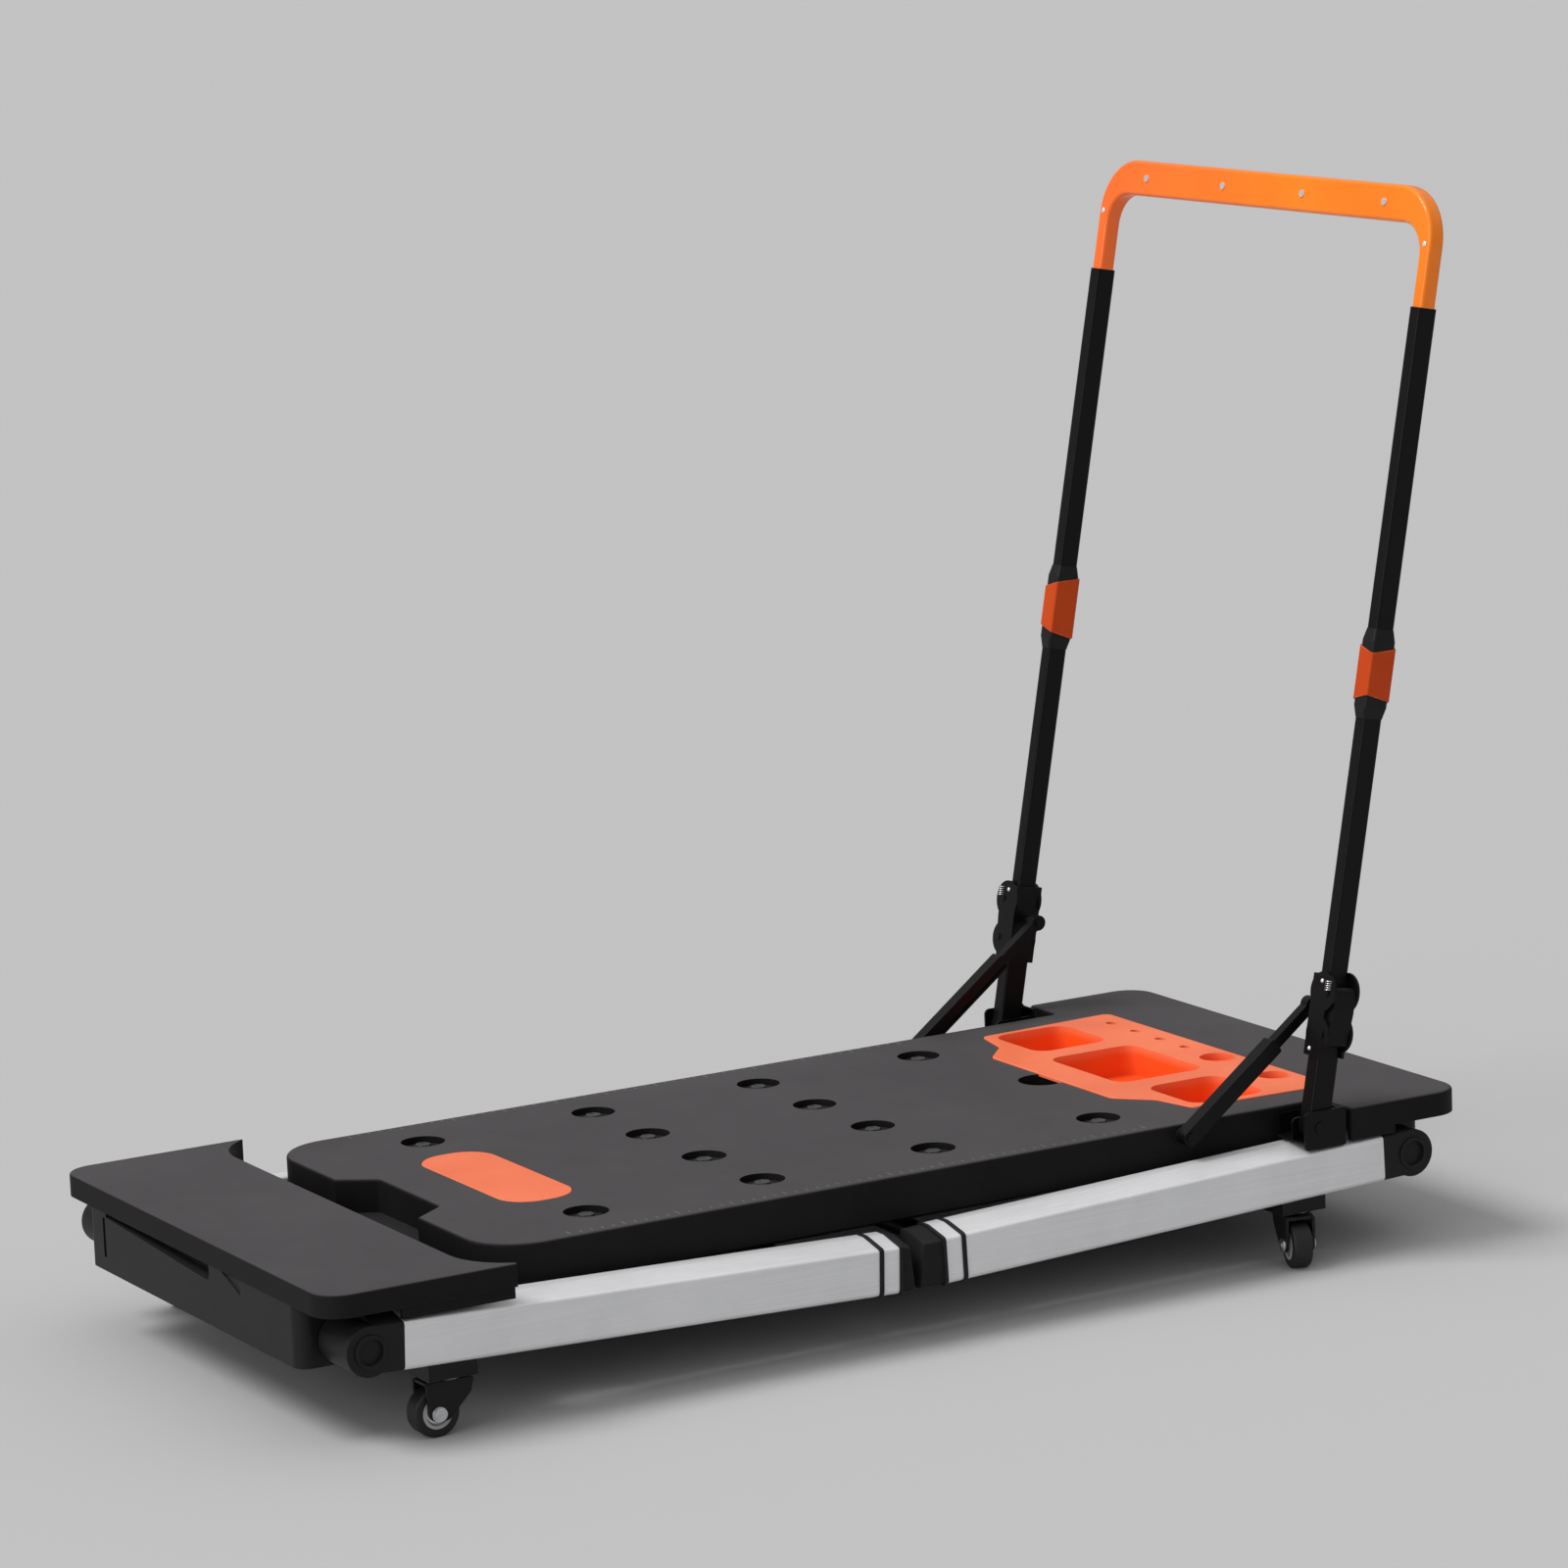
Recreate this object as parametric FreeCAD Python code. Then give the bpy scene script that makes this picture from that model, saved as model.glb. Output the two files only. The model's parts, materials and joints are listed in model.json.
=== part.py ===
import FreeCAD, Part
import math
import os

# Folding platform cart that turns into a work bench or step.
# Millimetres, +Z up, floor at z = 0. X runs along the deck with the handle at the +X end,
# Y runs across it. The model is drawn about the middle of the deck and is moved at the end,
# so that the origin lies on the floor in the middle of the whole cart.

# --- Driving dimensions --------------------------------------------------------------------
DECK_TOP = 132.0              # height of the deck above the floor
DECK_LENGTH = 1089.0
DECK_WIDTH = 511.0
HANDLE_RECESS_WIDTH = 46.5    # each side of the deck, where the folded posts lie
DECK_THICKNESS = 36.0
DECK_EDGE_ROUND = 3.0
DECK_VOID_WALL = 4.0
REAR_PLATE_LENGTH = 119.5     # full-width part behind the handle
REAR_PLATE_THICKNESS = 21.0
REAR_CORNER_R = 28.0
RECESS_CORNER_R = 6.0         # inner corner of the handle recess
FRONT_PLATE_LENGTH = 137.0
FRONT_PLATE_THICKNESS = 19.0
FRONT_CORNER_R = 26.0
HORN_LENGTH = 31.5            # how far the horns reach past the front plate's inner edge
HORN_ARC_R = 60.0
CHANNEL_WIDTH = 34.0          # gap that takes the folded handle's cross bar
FRONT_DECK_CORNER_R = 50.0
SKIRT_THICKNESS = 5.5         # lips that close the gap above the rails
SKIRT_CLEARANCE = 1.2

GRAB_NOTCH_MOUTH = 154.0      # hand notch in the deck's front edge
GRAB_NOTCH_ROOT = 110.0
GRAB_NOTCH_DEPTH = 30.5
GRAB_NOTCH_DROP = 29.0
BRIDGE_END_GAP = 2.0          # inside the narrow part of the deck
BRIDGE_THICKNESS = 5.0

BOLT_ROW_PITCH = 165.0
BOLT_FIRST_ROW_X = -256.0
BOLT_SPACING_Y = 97.9
BOLT_POCKET_R = 19.0
BOLT_POCKET_DEPTH = 6.0
BOLT_HEAD_R = 10.0
BOLT_HEAD_HEIGHT = 4.0
BOLT_SHANK_R = 4.0
BOLT_BOSS_R = 25.0

PAD_LENGTH_X = 66.0
PAD_LENGTH_Y = 188.0
PAD_CORNER_R = 29.0
PAD_THICKNESS = 4.0
PAD_X = -262.0
INSERT_CLEARANCE = 0.4

TRAY_REAR_X = 460.0
TRAY_WIDTH = 352.0
TRAY_SIDE_LENGTH = 139.0
TRAY_MIDDLE_LENGTH = 175.0
TRAY_FLANGE = 3.0
TRAY_PROUD = 1.2
TRAY_TUB_DEPTH = 26.0
TRAY_WALL = 2.0
TRAY_SEAT_GAP = 0.3
FINGER_RECESS_X = 276.0
FINGER_RECESS_R = 21.0
FINGER_RECESS_DEPTH = 12.0

FRONT_PIVOT_INSET = 37.5      # leg pivots, from the ends of the deck
REAR_PIVOT_INSET = 56.5
PIVOT_DROP = 49.0             # below the deck's top
PIVOT_PIN_R = 6.0
RUNNING_CLEARANCE = 0.06
LEG_DROOP = 2.04              # degrees, folded legs slope down to the middle
LEG_SPLAY = 8.0
LEG_GAP = 2.0                 # between the folded feet
RAIL_WIDTH = 39.5
RAIL_HALF_HEIGHT = 19.5
RAIL_CROWN = 6.0
RAIL_CROWN_WIDTH = 26.0
RAIL_WALL = 2.2
RAIL_START = 30.0
FRONT_RAIL_END = 461.0
REAR_RAIL_END = 451.0
COLLAR_THICKNESS = 4.0
COLLAR_PROUD = 1.0
SLEEVE_LENGTH = 15.0
END_COLLAR_THICKNESS = 3.0
KNUCKLE_R = 20.5
KNUCKLE_SIDE_GAP = 2.0
SPIGOT_LENGTH = 26.0
BUTTON_R = 13.5
BUTTON_PROUD = 1.5
BUTTON_TRAVEL = 3.0
BUTTON_THICKNESS = 6.0
BUTTON_DISH = 3.2
BUTTON_RIM = 2.6
SLIDING_CLEARANCE = 0.3
CROSS_TUBE_R = 9.0
CROSS_TUBE_WALL = 1.5
CROSS_TUBE_REACH = 430.0      # from the pivot
CROSS_TUBE_DROP = 6.0

HOUSING_END_GAP = 52.5        # from the deck's side to the housing's end
HOUSING_DEPTH = 85.0
FRONT_HOUSING_INSET = 1.0
REAR_HOUSING_INSET = 9.5
HOUSING_HEIGHT = 51.0
HOUSING_WALL = 4.0
HOUSING_CORNER_R = 12.0
FRONT_GRIP_RECESS = (-39.0, 165.0)
REAR_GRIP_RECESS = (-105.0, 105.0)
GRIP_RECESS_HEIGHT = 14.0     # at its deep end
GRIP_RECESS_LOW = 4.0         # at its shallow end
GRIP_RECESS_DEPTH = 12.0
HOUSING_SLOT_Y = 172.0        # narrow upright slot in the front face
HOUSING_SLOT_WIDTH = 4.5
HOUSING_SLOT_DEPTH = 3.0
HOUSING_FACET_Y = -78.0       # shallow sloping facet beside the grip recess

SUBFRAME_SPACING = 293.7      # between the two long tubes, three bolt spacings
SUBFRAME_TUBE_WIDTH = 20.0
SUBFRAME_TUBE_HEIGHT = 18.0
SUBFRAME_TUBE_WALL = 1.8

CASTER_WHEEL_R = 20.0
CASTER_WHEEL_WIDTH = 17.0
CASTER_HUB_R = 13.0
CASTER_AXLE_R = 3.0
CASTER_TRAIL = 11.0
CASTER_FORK_TOP = 46.0
CASTER_FORK_THICKNESS = 2.2
CASTER_CHEEK_GAP = 2.0
CASTER_PLATE = 44.0
CASTER_PLATE_WIDTH = 34.0
CASTER_RACE_R = 13.0
CASTER_STUD_R = 5.0
FRONT_CASTER_REACH = 72.0     # from the leg pivot
REAR_CASTER_REACH = 112.0
REAR_CASTER_TURN = 72.0       # degrees, as parked

HANDLE_PIVOT_INSET = 151.5    # from the rear end of the deck
HANDLE_PIVOT_DROP = 12.0
HANDLE_LEAN = 10.76           # degrees past upright
POST_INSET = 10.1             # from the deck's side to the middle of a post
HANDLE_REACH = 783.0          # pivot to the middle of the cross bar
STUB_DEPTH = 22.0
STUB_WIDTH = 16.0
STUB_LENGTH = 126.0
POST_DEPTH = 19.0
POST_WIDTH = 14.0
POST_WALL = 1.5
POST_CORNER_R = 2.5
COUPLER_REACH = 388.0
COUPLER_LENGTH = 76.0
COUPLER_DEPTH = 23.6
COUPLER_WIDTH = 18.0
BAND_DEPTH = 25.0
BAND_WIDTH = 19.6
BAND_FRONT_HALF = 17.5        # half the band's length at its front outer edge
BAND_INNER_RISE = 5.5         # how much further it reaches at the inner edge
BAND_BACK_RISE = 5.0
GRIP_START = 698.0
GRIP_LEG_DEPTH = 16.4
GRIP_LEG_WIDTH = 11.4
GRIP_BAR_HEIGHT = 31.5
GRIP_BAR_DEPTH = 16.0
GRIP_OUTER_R = 50.0
GRIP_INNER_R = 28.0
GRIP_RIVET_PITCH = 121.0
GRIP_RIVET_R = 3.2
GRIP_RIVET_HEIGHT = 1.0

HANDLE_PIN_R = 4.0
HANDLE_FOOT_R = 11.0
BRACKET_LENGTH = 42.0
BRACKET_END_GAP = 0.4         # to the rounded corner at the end of the recess
BRACKET_PLATE = 2.0
BRACKET_SIDE_GAP = 0.5
BRACKET_FLOOR_DROP = 11.5
BRACKET_CHEEK_DROP = 18.0
BRACKET_INNER_RISE = 7.0      # inner cheek, above the pivot

LATCH_START = 60.0            # latch plates on the posts, along the post from the pivot
LATCH_END = 130.0
LATCH_PLATE = 2.5
LOBE_INSET = 3.5              # lobe centres, in from the post's outer face
LATCH_LOBES = ((80.0, 15.5), (116.0, 17.0))   # along the post, radius
LEVER_OUT = 6.6               # lever pivot, out from the post's face
LEVER_R = 5.6
LEVER_FACE_GAP = 0.6
LEVER_SIDE_GAP = 0.5
LEVER_LENGTH = 42.0
LEVER_PIN_R = 2.5

BRACE_PIVOT_REACH = 100.0
BRACE_FOOT_X = 283.0
BRACE_FOOT_DROP = 10.0
BRACE_DEPTH = 14.0
BRACE_WIDTH = 13.0
BRACE_WALL = 1.8
BRACE_INNER_DEPTH = 9.0
BRACE_OVERLAP = 0.70          # share of the brace's length that the outer channel covers
BRACE_POST_GAP = 14.0         # between a brace and its post
BRACE_PIN_R = 3.5
BRACE_BOSS_R = 7.0
BRACE_BOSS_GAP = 0.5

# --- Places worked out from them -----------------------------------------------------------
HALF_LENGTH = DECK_LENGTH / 2
HALF_WIDTH = DECK_WIDTH / 2
HALF_NARROW = HALF_WIDTH - HANDLE_RECESS_WIDTH
DECK_BOTTOM = DECK_TOP - DECK_THICKNESS
FRONT_INNER_X = -HALF_LENGTH + FRONT_PLATE_LENGTH
DECK_FRONT_X = FRONT_INNER_X + CHANNEL_WIDTH
REAR_WIDE_X = HALF_LENGTH - REAR_PLATE_LENGTH
FRONT_PIVOT_X = -HALF_LENGTH + FRONT_PIVOT_INSET
REAR_PIVOT_X = HALF_LENGTH - REAR_PIVOT_INSET
PIVOT_Z = DECK_TOP - PIVOT_DROP
LEG_REACH = (REAR_PIVOT_X - FRONT_PIVOT_X - LEG_GAP) / 2
RAIL_OUTER_Y = HALF_WIDTH
RAIL_INNER_Y = HALF_WIDTH - RAIL_WIDTH
RAIL_MIDDLE_Y = HALF_WIDTH - RAIL_WIDTH / 2
HOUSING_SIDE_Y = HALF_WIDTH - HOUSING_END_GAP
KNUCKLE_INNER_Y = HOUSING_SIDE_Y + KNUCKLE_SIDE_GAP
HANDLE_X = HALF_LENGTH - HANDLE_PIVOT_INSET
HANDLE_Z = DECK_TOP - HANDLE_PIVOT_DROP
POST_Y = HALF_WIDTH - POST_INSET
BRACE_OUTER_Y = POST_Y - STUB_WIDTH / 2 - BRACE_POST_GAP
BRACE_INNER_Y = BRACE_OUTER_Y - BRACE_WIDTH
BRACE_FOOT_Z = DECK_TOP - BRACE_FOOT_DROP
LEAN = math.radians(HANDLE_LEAN)
BRACE_HEAD_X = HANDLE_X + BRACE_PIVOT_REACH * math.sin(LEAN)
BRACE_HEAD_Z = HANDLE_Z + BRACE_PIVOT_REACH * math.cos(LEAN)
BRACE_LENGTH = math.hypot(BRACE_HEAD_X - BRACE_FOOT_X, BRACE_HEAD_Z - BRACE_FOOT_Z)
BRACE_SLOPE = math.degrees(math.atan2(BRACE_HEAD_Z - BRACE_FOOT_Z, BRACE_HEAD_X - BRACE_FOOT_X))
SUBFRAME_BOTTOM = DECK_BOTTOM - SUBFRAME_TUBE_HEIGHT
BOLT_ROWS = (
    (0, (-1.5, 1.5)),
    (1, (-1.5, -0.5, 0.5, 1.5)),
    (2, (-1.5, -0.5, 0.5, 1.5)),
    (3, (-1.5, 1.5)),
)
SIDES = {"left": 1, "right": -1}


# --- Helpers -------------------------------------------------------------------------------
def box(x0, x1, y0, y1, z0, z1):
    low = FreeCAD.Vector(min(x0, x1), min(y0, y1), min(z0, z1))
    return Part.makeBox(abs(x1 - x0), abs(y1 - y0), abs(z1 - z0), low)


def rod(axis, at, radius, start, end):
    """A cylinder along one axis; at gives its place on the other two, in X, Y, Z order."""
    directions = {"X": (1, 0, 0), "Y": (0, 1, 0), "Z": (0, 0, 1)}
    low = min(start, end)
    places = {"X": (low, at[0], at[1]), "Y": (at[0], low, at[1]), "Z": (at[0], at[1], low)}
    base = FreeCAD.Vector(*places[axis])
    return Part.makeCylinder(radius, abs(end - start), base, FreeCAD.Vector(*directions[axis]))


def tube(axis, at, radius, hole, start, end):
    return rod(axis, at, radius, start, end).cut(rod(axis, at, hole, start, end))


def outline_wire(points):
    """A closed wire through (u, v) or (u, v, radius) corners, rounded with tangent arcs."""
    corners = []
    for index, point in enumerate(points):
        here = FreeCAD.Vector(point[0], point[1], 0)
        radius = point[2] if len(point) > 2 else 0
        before = FreeCAD.Vector(points[index - 1][0], points[index - 1][1], 0)
        after = points[(index + 1) % len(points)]
        after = FreeCAD.Vector(after[0], after[1], 0)
        if radius <= 0:
            corners.append((here, None, here))
            continue
        back = (before - here).normalize()
        ahead = (after - here).normalize()
        half = back.getAngle(ahead) / 2
        reach = radius / math.tan(half)
        centre = here + (back + ahead).normalize() * (radius / math.sin(half))
        middle = centre + (here - centre).normalize() * radius
        corners.append((here + back * reach, middle, here + ahead * reach))
    edges = []
    for index, (entry, middle, leave) in enumerate(corners):
        previous_leave = corners[index - 1][2]
        if (entry - previous_leave).Length > 1e-6:
            edges.append(Part.LineSegment(previous_leave, entry).toShape())
        if middle is not None:
            edges.append(Part.Arc(entry, middle, leave).toShape())
    return Part.Wire(edges)


def slab(points, z0, z1):
    """Extrude an outline in XY from z0 up to z1."""
    face = Part.Face(outline_wire(points))
    solid = face.extrude(FreeCAD.Vector(0, 0, z1 - z0))
    solid.translate(FreeCAD.Vector(0, 0, z0))
    return solid


def side_profile(points, y0, y1):
    """Extrude an outline of (x, z) points along Y."""
    solid = slab(points, -max(y0, y1), -min(y0, y1))
    solid.rotate(FreeCAD.Vector(0, 0, 0), FreeCAD.Vector(1, 0, 0), 90)
    return solid


def end_profile(points, x0, x1):
    """Extrude an outline of (y, z) points along X."""
    solid = slab(points, x0, x1)
    solid.rotate(FreeCAD.Vector(0, 0, 0), FreeCAD.Vector(1, 1, 1), 120)
    return solid


def rounded_rectangle(x0, x1, y0, y1, radius):
    return [(x0, y0, radius), (x1, y0, radius), (x1, y1, radius), (x0, y1, radius)]


def mirror_y(shape):
    return shape.mirror(FreeCAD.Vector(0, 0, 0), FreeCAD.Vector(0, 1, 0))


def both_sides(shape):
    """The piece and its mirror image across the cart's middle plane."""
    return Part.makeCompound([shape, mirror_y(shape)])


def on_side(shape, side):
    return shape if side > 0 else mirror_y(shape)


def fuse(shapes):
    return shapes[0].multiFuse(shapes[1:]).removeSplitter()


def cut(shape, tools):
    return shape.cut(Part.makeCompound(tools)) if tools else shape


def round_edges(shape, radius, height, box_limits=None):
    """Round the edges that lie flat at one height, all of them or those inside limits."""
    chosen = []
    for edge in shape.Edges:
        bounds = edge.BoundBox
        flat = abs(bounds.ZMin - height) < 1e-4 and abs(bounds.ZMax - height) < 1e-4
        if not flat:
            continue
        if box_limits is not None:
            x0, x1 = box_limits
            if bounds.XMin < x0 - 1e-4 or bounds.XMax > x1 + 1e-4:
                continue
        chosen.append(edge)
    return shape.makeFillet(radius, chosen)


def bolt_places():
    places = []
    for row, offsets in BOLT_ROWS:
        for offset in offsets:
            places.append((BOLT_FIRST_ROW_X + row * BOLT_ROW_PITCH, offset * BOLT_SPACING_Y))
    return places


# --- Deck ----------------------------------------------------------------------------------
def tray_outline(grow=0.0):
    """The drop-in tray's outline: a broad middle with a shoulder and a tip on each side."""
    rear = TRAY_REAR_X + grow
    half = TRAY_WIDTH / 2 + grow
    side_x = TRAY_REAR_X - TRAY_SIDE_LENGTH - grow
    middle_x = TRAY_REAR_X - TRAY_MIDDLE_LENGTH - grow
    shoulder_y = TRAY_WIDTH * 0.36 + grow
    middle_y = TRAY_WIDTH * 0.275 + grow
    notch_x = side_x - 9
    return [
        (rear, -half, 8),
        (side_x, -half + 6, 6),
        (notch_x, -shoulder_y, 5),
        (middle_x, -middle_y, 12),
        (middle_x, middle_y, 12),
        (notch_x, shoulder_y, 5),
        (side_x, half - 6, 6),
        (rear, half, 8),
    ]


TRAY_POCKETS = (
    # x from the tray's rear edge, y, length along X, length along Y, corner radius
    (-96.0, 0.0, 90.0, 118.0, 14.0),
    (-95.0, 124.0, 76.0, 80.0, 16.0),
    (-95.0, -124.0, 76.0, 80.0, 16.0),
)
TRAY_SMALL_HOLES = (140.0, 100.0, 60.0, 20.0)
TRAY_SMALL_HOLE_R = 4.4
TRAY_CUPS = ((-31.0, 15.5), (-118.0, 14.0))
TRAY_HOLE_INSET = 20.5


def pocket_outline(pocket, grow):
    inset, y, length_x, length_y, radius = pocket
    x = TRAY_REAR_X + inset
    half_x = length_x / 2 + grow
    half_y = length_y / 2 + grow
    return rounded_rectangle(x - half_x, x + half_x, y - half_y, y + half_y, radius + grow)


def deck_panel():
    """Double-walled moulded deck: narrow between the handle recesses, full width behind.

    Round bosses on its sides are what the braces' feet bear against.
    """
    notch_out = GRAB_NOTCH_MOUTH / 2
    notch_in = GRAB_NOTCH_ROOT / 2
    top_outline = [
        (DECK_FRONT_X, -HALF_NARROW, FRONT_DECK_CORNER_R),
        (REAR_WIDE_X, -HALF_NARROW, RECESS_CORNER_R),
        (REAR_WIDE_X, -HALF_WIDTH, 4),
        (HALF_LENGTH, -HALF_WIDTH, REAR_CORNER_R),
        (HALF_LENGTH, HALF_WIDTH, REAR_CORNER_R),
        (REAR_WIDE_X, HALF_WIDTH, 4),
        (REAR_WIDE_X, HALF_NARROW, RECESS_CORNER_R),
        (DECK_FRONT_X, HALF_NARROW, FRONT_DECK_CORNER_R),
    ]
    upper = slab(top_outline, DECK_TOP - REAR_PLATE_THICKNESS, DECK_TOP)
    lower_outline = [
        (DECK_FRONT_X, -HALF_NARROW, FRONT_DECK_CORNER_R),
        (REAR_WIDE_X + 15, -HALF_NARROW, 6),
        (REAR_WIDE_X + 15, HALF_NARROW, 6),
        (DECK_FRONT_X, HALF_NARROW, FRONT_DECK_CORNER_R),
    ]
    lower = slab(lower_outline, DECK_BOTTOM, DECK_TOP - REAR_PLATE_THICKNESS)
    lip_bottom = PIVOT_Z + RAIL_HALF_HEIGHT + SKIRT_CLEARANCE
    lip = box(REAR_WIDE_X, REAR_WIDE_X + 45, HALF_WIDTH - SKIRT_THICKNESS, HALF_WIDTH,
              lip_bottom, DECK_TOP - REAR_PLATE_THICKNESS)
    panel = fuse([upper, lower, lip, mirror_y(lip)])
    notch = slab([
        (DECK_FRONT_X - 1, -notch_out - 0.7),
        (DECK_FRONT_X + GRAB_NOTCH_DEPTH, -notch_in, 5),
        (DECK_FRONT_X + GRAB_NOTCH_DEPTH, notch_in, 5),
        (DECK_FRONT_X - 1, notch_out + 0.7),
    ], DECK_TOP - GRAB_NOTCH_DROP, DECK_TOP + 1)
    panel = panel.cut(notch)
    panel = round_edges(panel, DECK_EDGE_ROUND, DECK_TOP)

    cuts = []
    for x, y in bolt_places():
        cuts.append(rod("Z", (x, y), BOLT_POCKET_R, DECK_TOP - BOLT_POCKET_DEPTH, DECK_TOP + 1))
        cuts.append(rod("Z", (x, y), BOLT_SHANK_R, DECK_BOTTOM - 1, DECK_TOP))
    pad_x = PAD_LENGTH_X / 2 + INSERT_CLEARANCE
    pad_y = PAD_LENGTH_Y / 2 + INSERT_CLEARANCE
    cuts.append(slab(rounded_rectangle(PAD_X - pad_x, PAD_X + pad_x, -pad_y, pad_y, PAD_CORNER_R),
                     DECK_TOP - PAD_THICKNESS, DECK_TOP + 1))
    flange_z = DECK_TOP + TRAY_PROUD - TRAY_FLANGE
    cuts.append(slab(tray_outline(INSERT_CLEARANCE), flange_z - TRAY_SEAT_GAP, DECK_TOP + 1))
    tub_floor = flange_z - TRAY_TUB_DEPTH - INSERT_CLEARANCE
    for pocket in TRAY_POCKETS:
        cuts.append(slab(pocket_outline(pocket, TRAY_WALL + INSERT_CLEARANCE), tub_floor, DECK_TOP))
    hole_x = TRAY_REAR_X - TRAY_HOLE_INSET
    for y in TRAY_SMALL_HOLES:
        cuts.append(rod("Z", (hole_x, y), TRAY_SMALL_HOLE_R, DECK_TOP - 15, DECK_TOP))
    for y, radius in TRAY_CUPS:
        cuts.append(rod("Z", (hole_x, y), radius + TRAY_WALL + INSERT_CLEARANCE,
                        DECK_TOP - REAR_PLATE_THICKNESS + 3, DECK_TOP))
    cuts.append(rod("Z", (FINGER_RECESS_X, 0), FINGER_RECESS_R,
                    DECK_TOP - FINGER_RECESS_DEPTH, DECK_TOP + 1))
    panel = cut(panel, cuts)

    boss = rod("Y", (BRACE_FOOT_X, BRACE_FOOT_Z), BRACE_BOSS_R, HALF_NARROW - 1,
               BRACE_INNER_Y - BRACE_BOSS_GAP)
    panel = fuse([panel, boss, mirror_y(boss)])
    return panel.cut(deck_void())


def deck_void():
    """The closed space inside the double wall, with a boss left round each bolt."""
    x0 = DECK_FRONT_X + GRAB_NOTCH_DEPTH + DECK_VOID_WALL
    x1 = FINGER_RECESS_X - FINGER_RECESS_R - DECK_VOID_WALL
    y1 = HALF_NARROW - DECK_VOID_WALL
    void = slab(rounded_rectangle(x0, x1, -y1, y1, 30), DECK_BOTTOM + DECK_VOID_WALL,
                DECK_TOP - BOLT_POCKET_DEPTH - DECK_VOID_WALL)
    bosses = [rod("Z", place, BOLT_BOSS_R, DECK_BOTTOM, DECK_TOP) for place in bolt_places()]
    return cut(void, bosses)


def pad_insert():
    shape = slab(rounded_rectangle(PAD_X - PAD_LENGTH_X / 2, PAD_X + PAD_LENGTH_X / 2,
                                   -PAD_LENGTH_Y / 2, PAD_LENGTH_Y / 2, PAD_CORNER_R),
                 DECK_TOP - PAD_THICKNESS, DECK_TOP + 0.4)
    return round_edges(shape, 0.8, DECK_TOP + 0.4)


def tool_tray():
    """Lift-out tray: a flange with three tubs, a row of bit holes and two cups."""
    top = DECK_TOP + TRAY_PROUD
    under = top - TRAY_FLANGE
    tray = slab(tray_outline(), under, top)
    tray = round_edges(tray, 1.0, top)
    tubs = [slab(pocket_outline(pocket, TRAY_WALL), under - TRAY_TUB_DEPTH, under + 0.5)
            for pocket in TRAY_POCKETS]
    hole_x = TRAY_REAR_X - TRAY_HOLE_INSET
    for y, radius in TRAY_CUPS:
        tubs.append(rod("Z", (hole_x, y), radius + TRAY_WALL,
                        DECK_TOP - REAR_PLATE_THICKNESS + 3.4, under + 0.5))
    tray = fuse([tray] + tubs)
    cuts = [slab(pocket_outline(pocket, 0), under - TRAY_TUB_DEPTH + TRAY_WALL, top + 1)
            for pocket in TRAY_POCKETS]
    for y, radius in TRAY_CUPS:
        cuts.append(rod("Z", (hole_x, y), radius, DECK_TOP - REAR_PLATE_THICKNESS + 5.4, top + 1))
    for y in TRAY_SMALL_HOLES:
        cuts.append(rod("Z", (hole_x, y), TRAY_SMALL_HOLE_R, under - 1, top + 1))
    return cut(tray, cuts)


def deck_bolts():
    """Twelve flanged bolts that hold the deck to the subframe."""
    bolts = []
    pocket_floor = DECK_TOP - BOLT_POCKET_DEPTH
    for x, y in bolt_places():
        flange = rod("Z", (x, y), BOLT_HEAD_R, pocket_floor, pocket_floor + 1.2)
        corners = []
        for step in range(6):
            angle = math.radians(60 * step)
            corners.append((x + 7.5 * math.cos(angle), y + 7.5 * math.sin(angle)))
        head = slab(corners, pocket_floor + 1.2, pocket_floor + BOLT_HEAD_HEIGHT)
        shank = rod("Z", (x, y), BOLT_SHANK_R, SUBFRAME_BOTTOM - 2, pocket_floor)
        bolts.append(fuse([flange, head, shank]))
    return Part.makeCompound(bolts)


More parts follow.
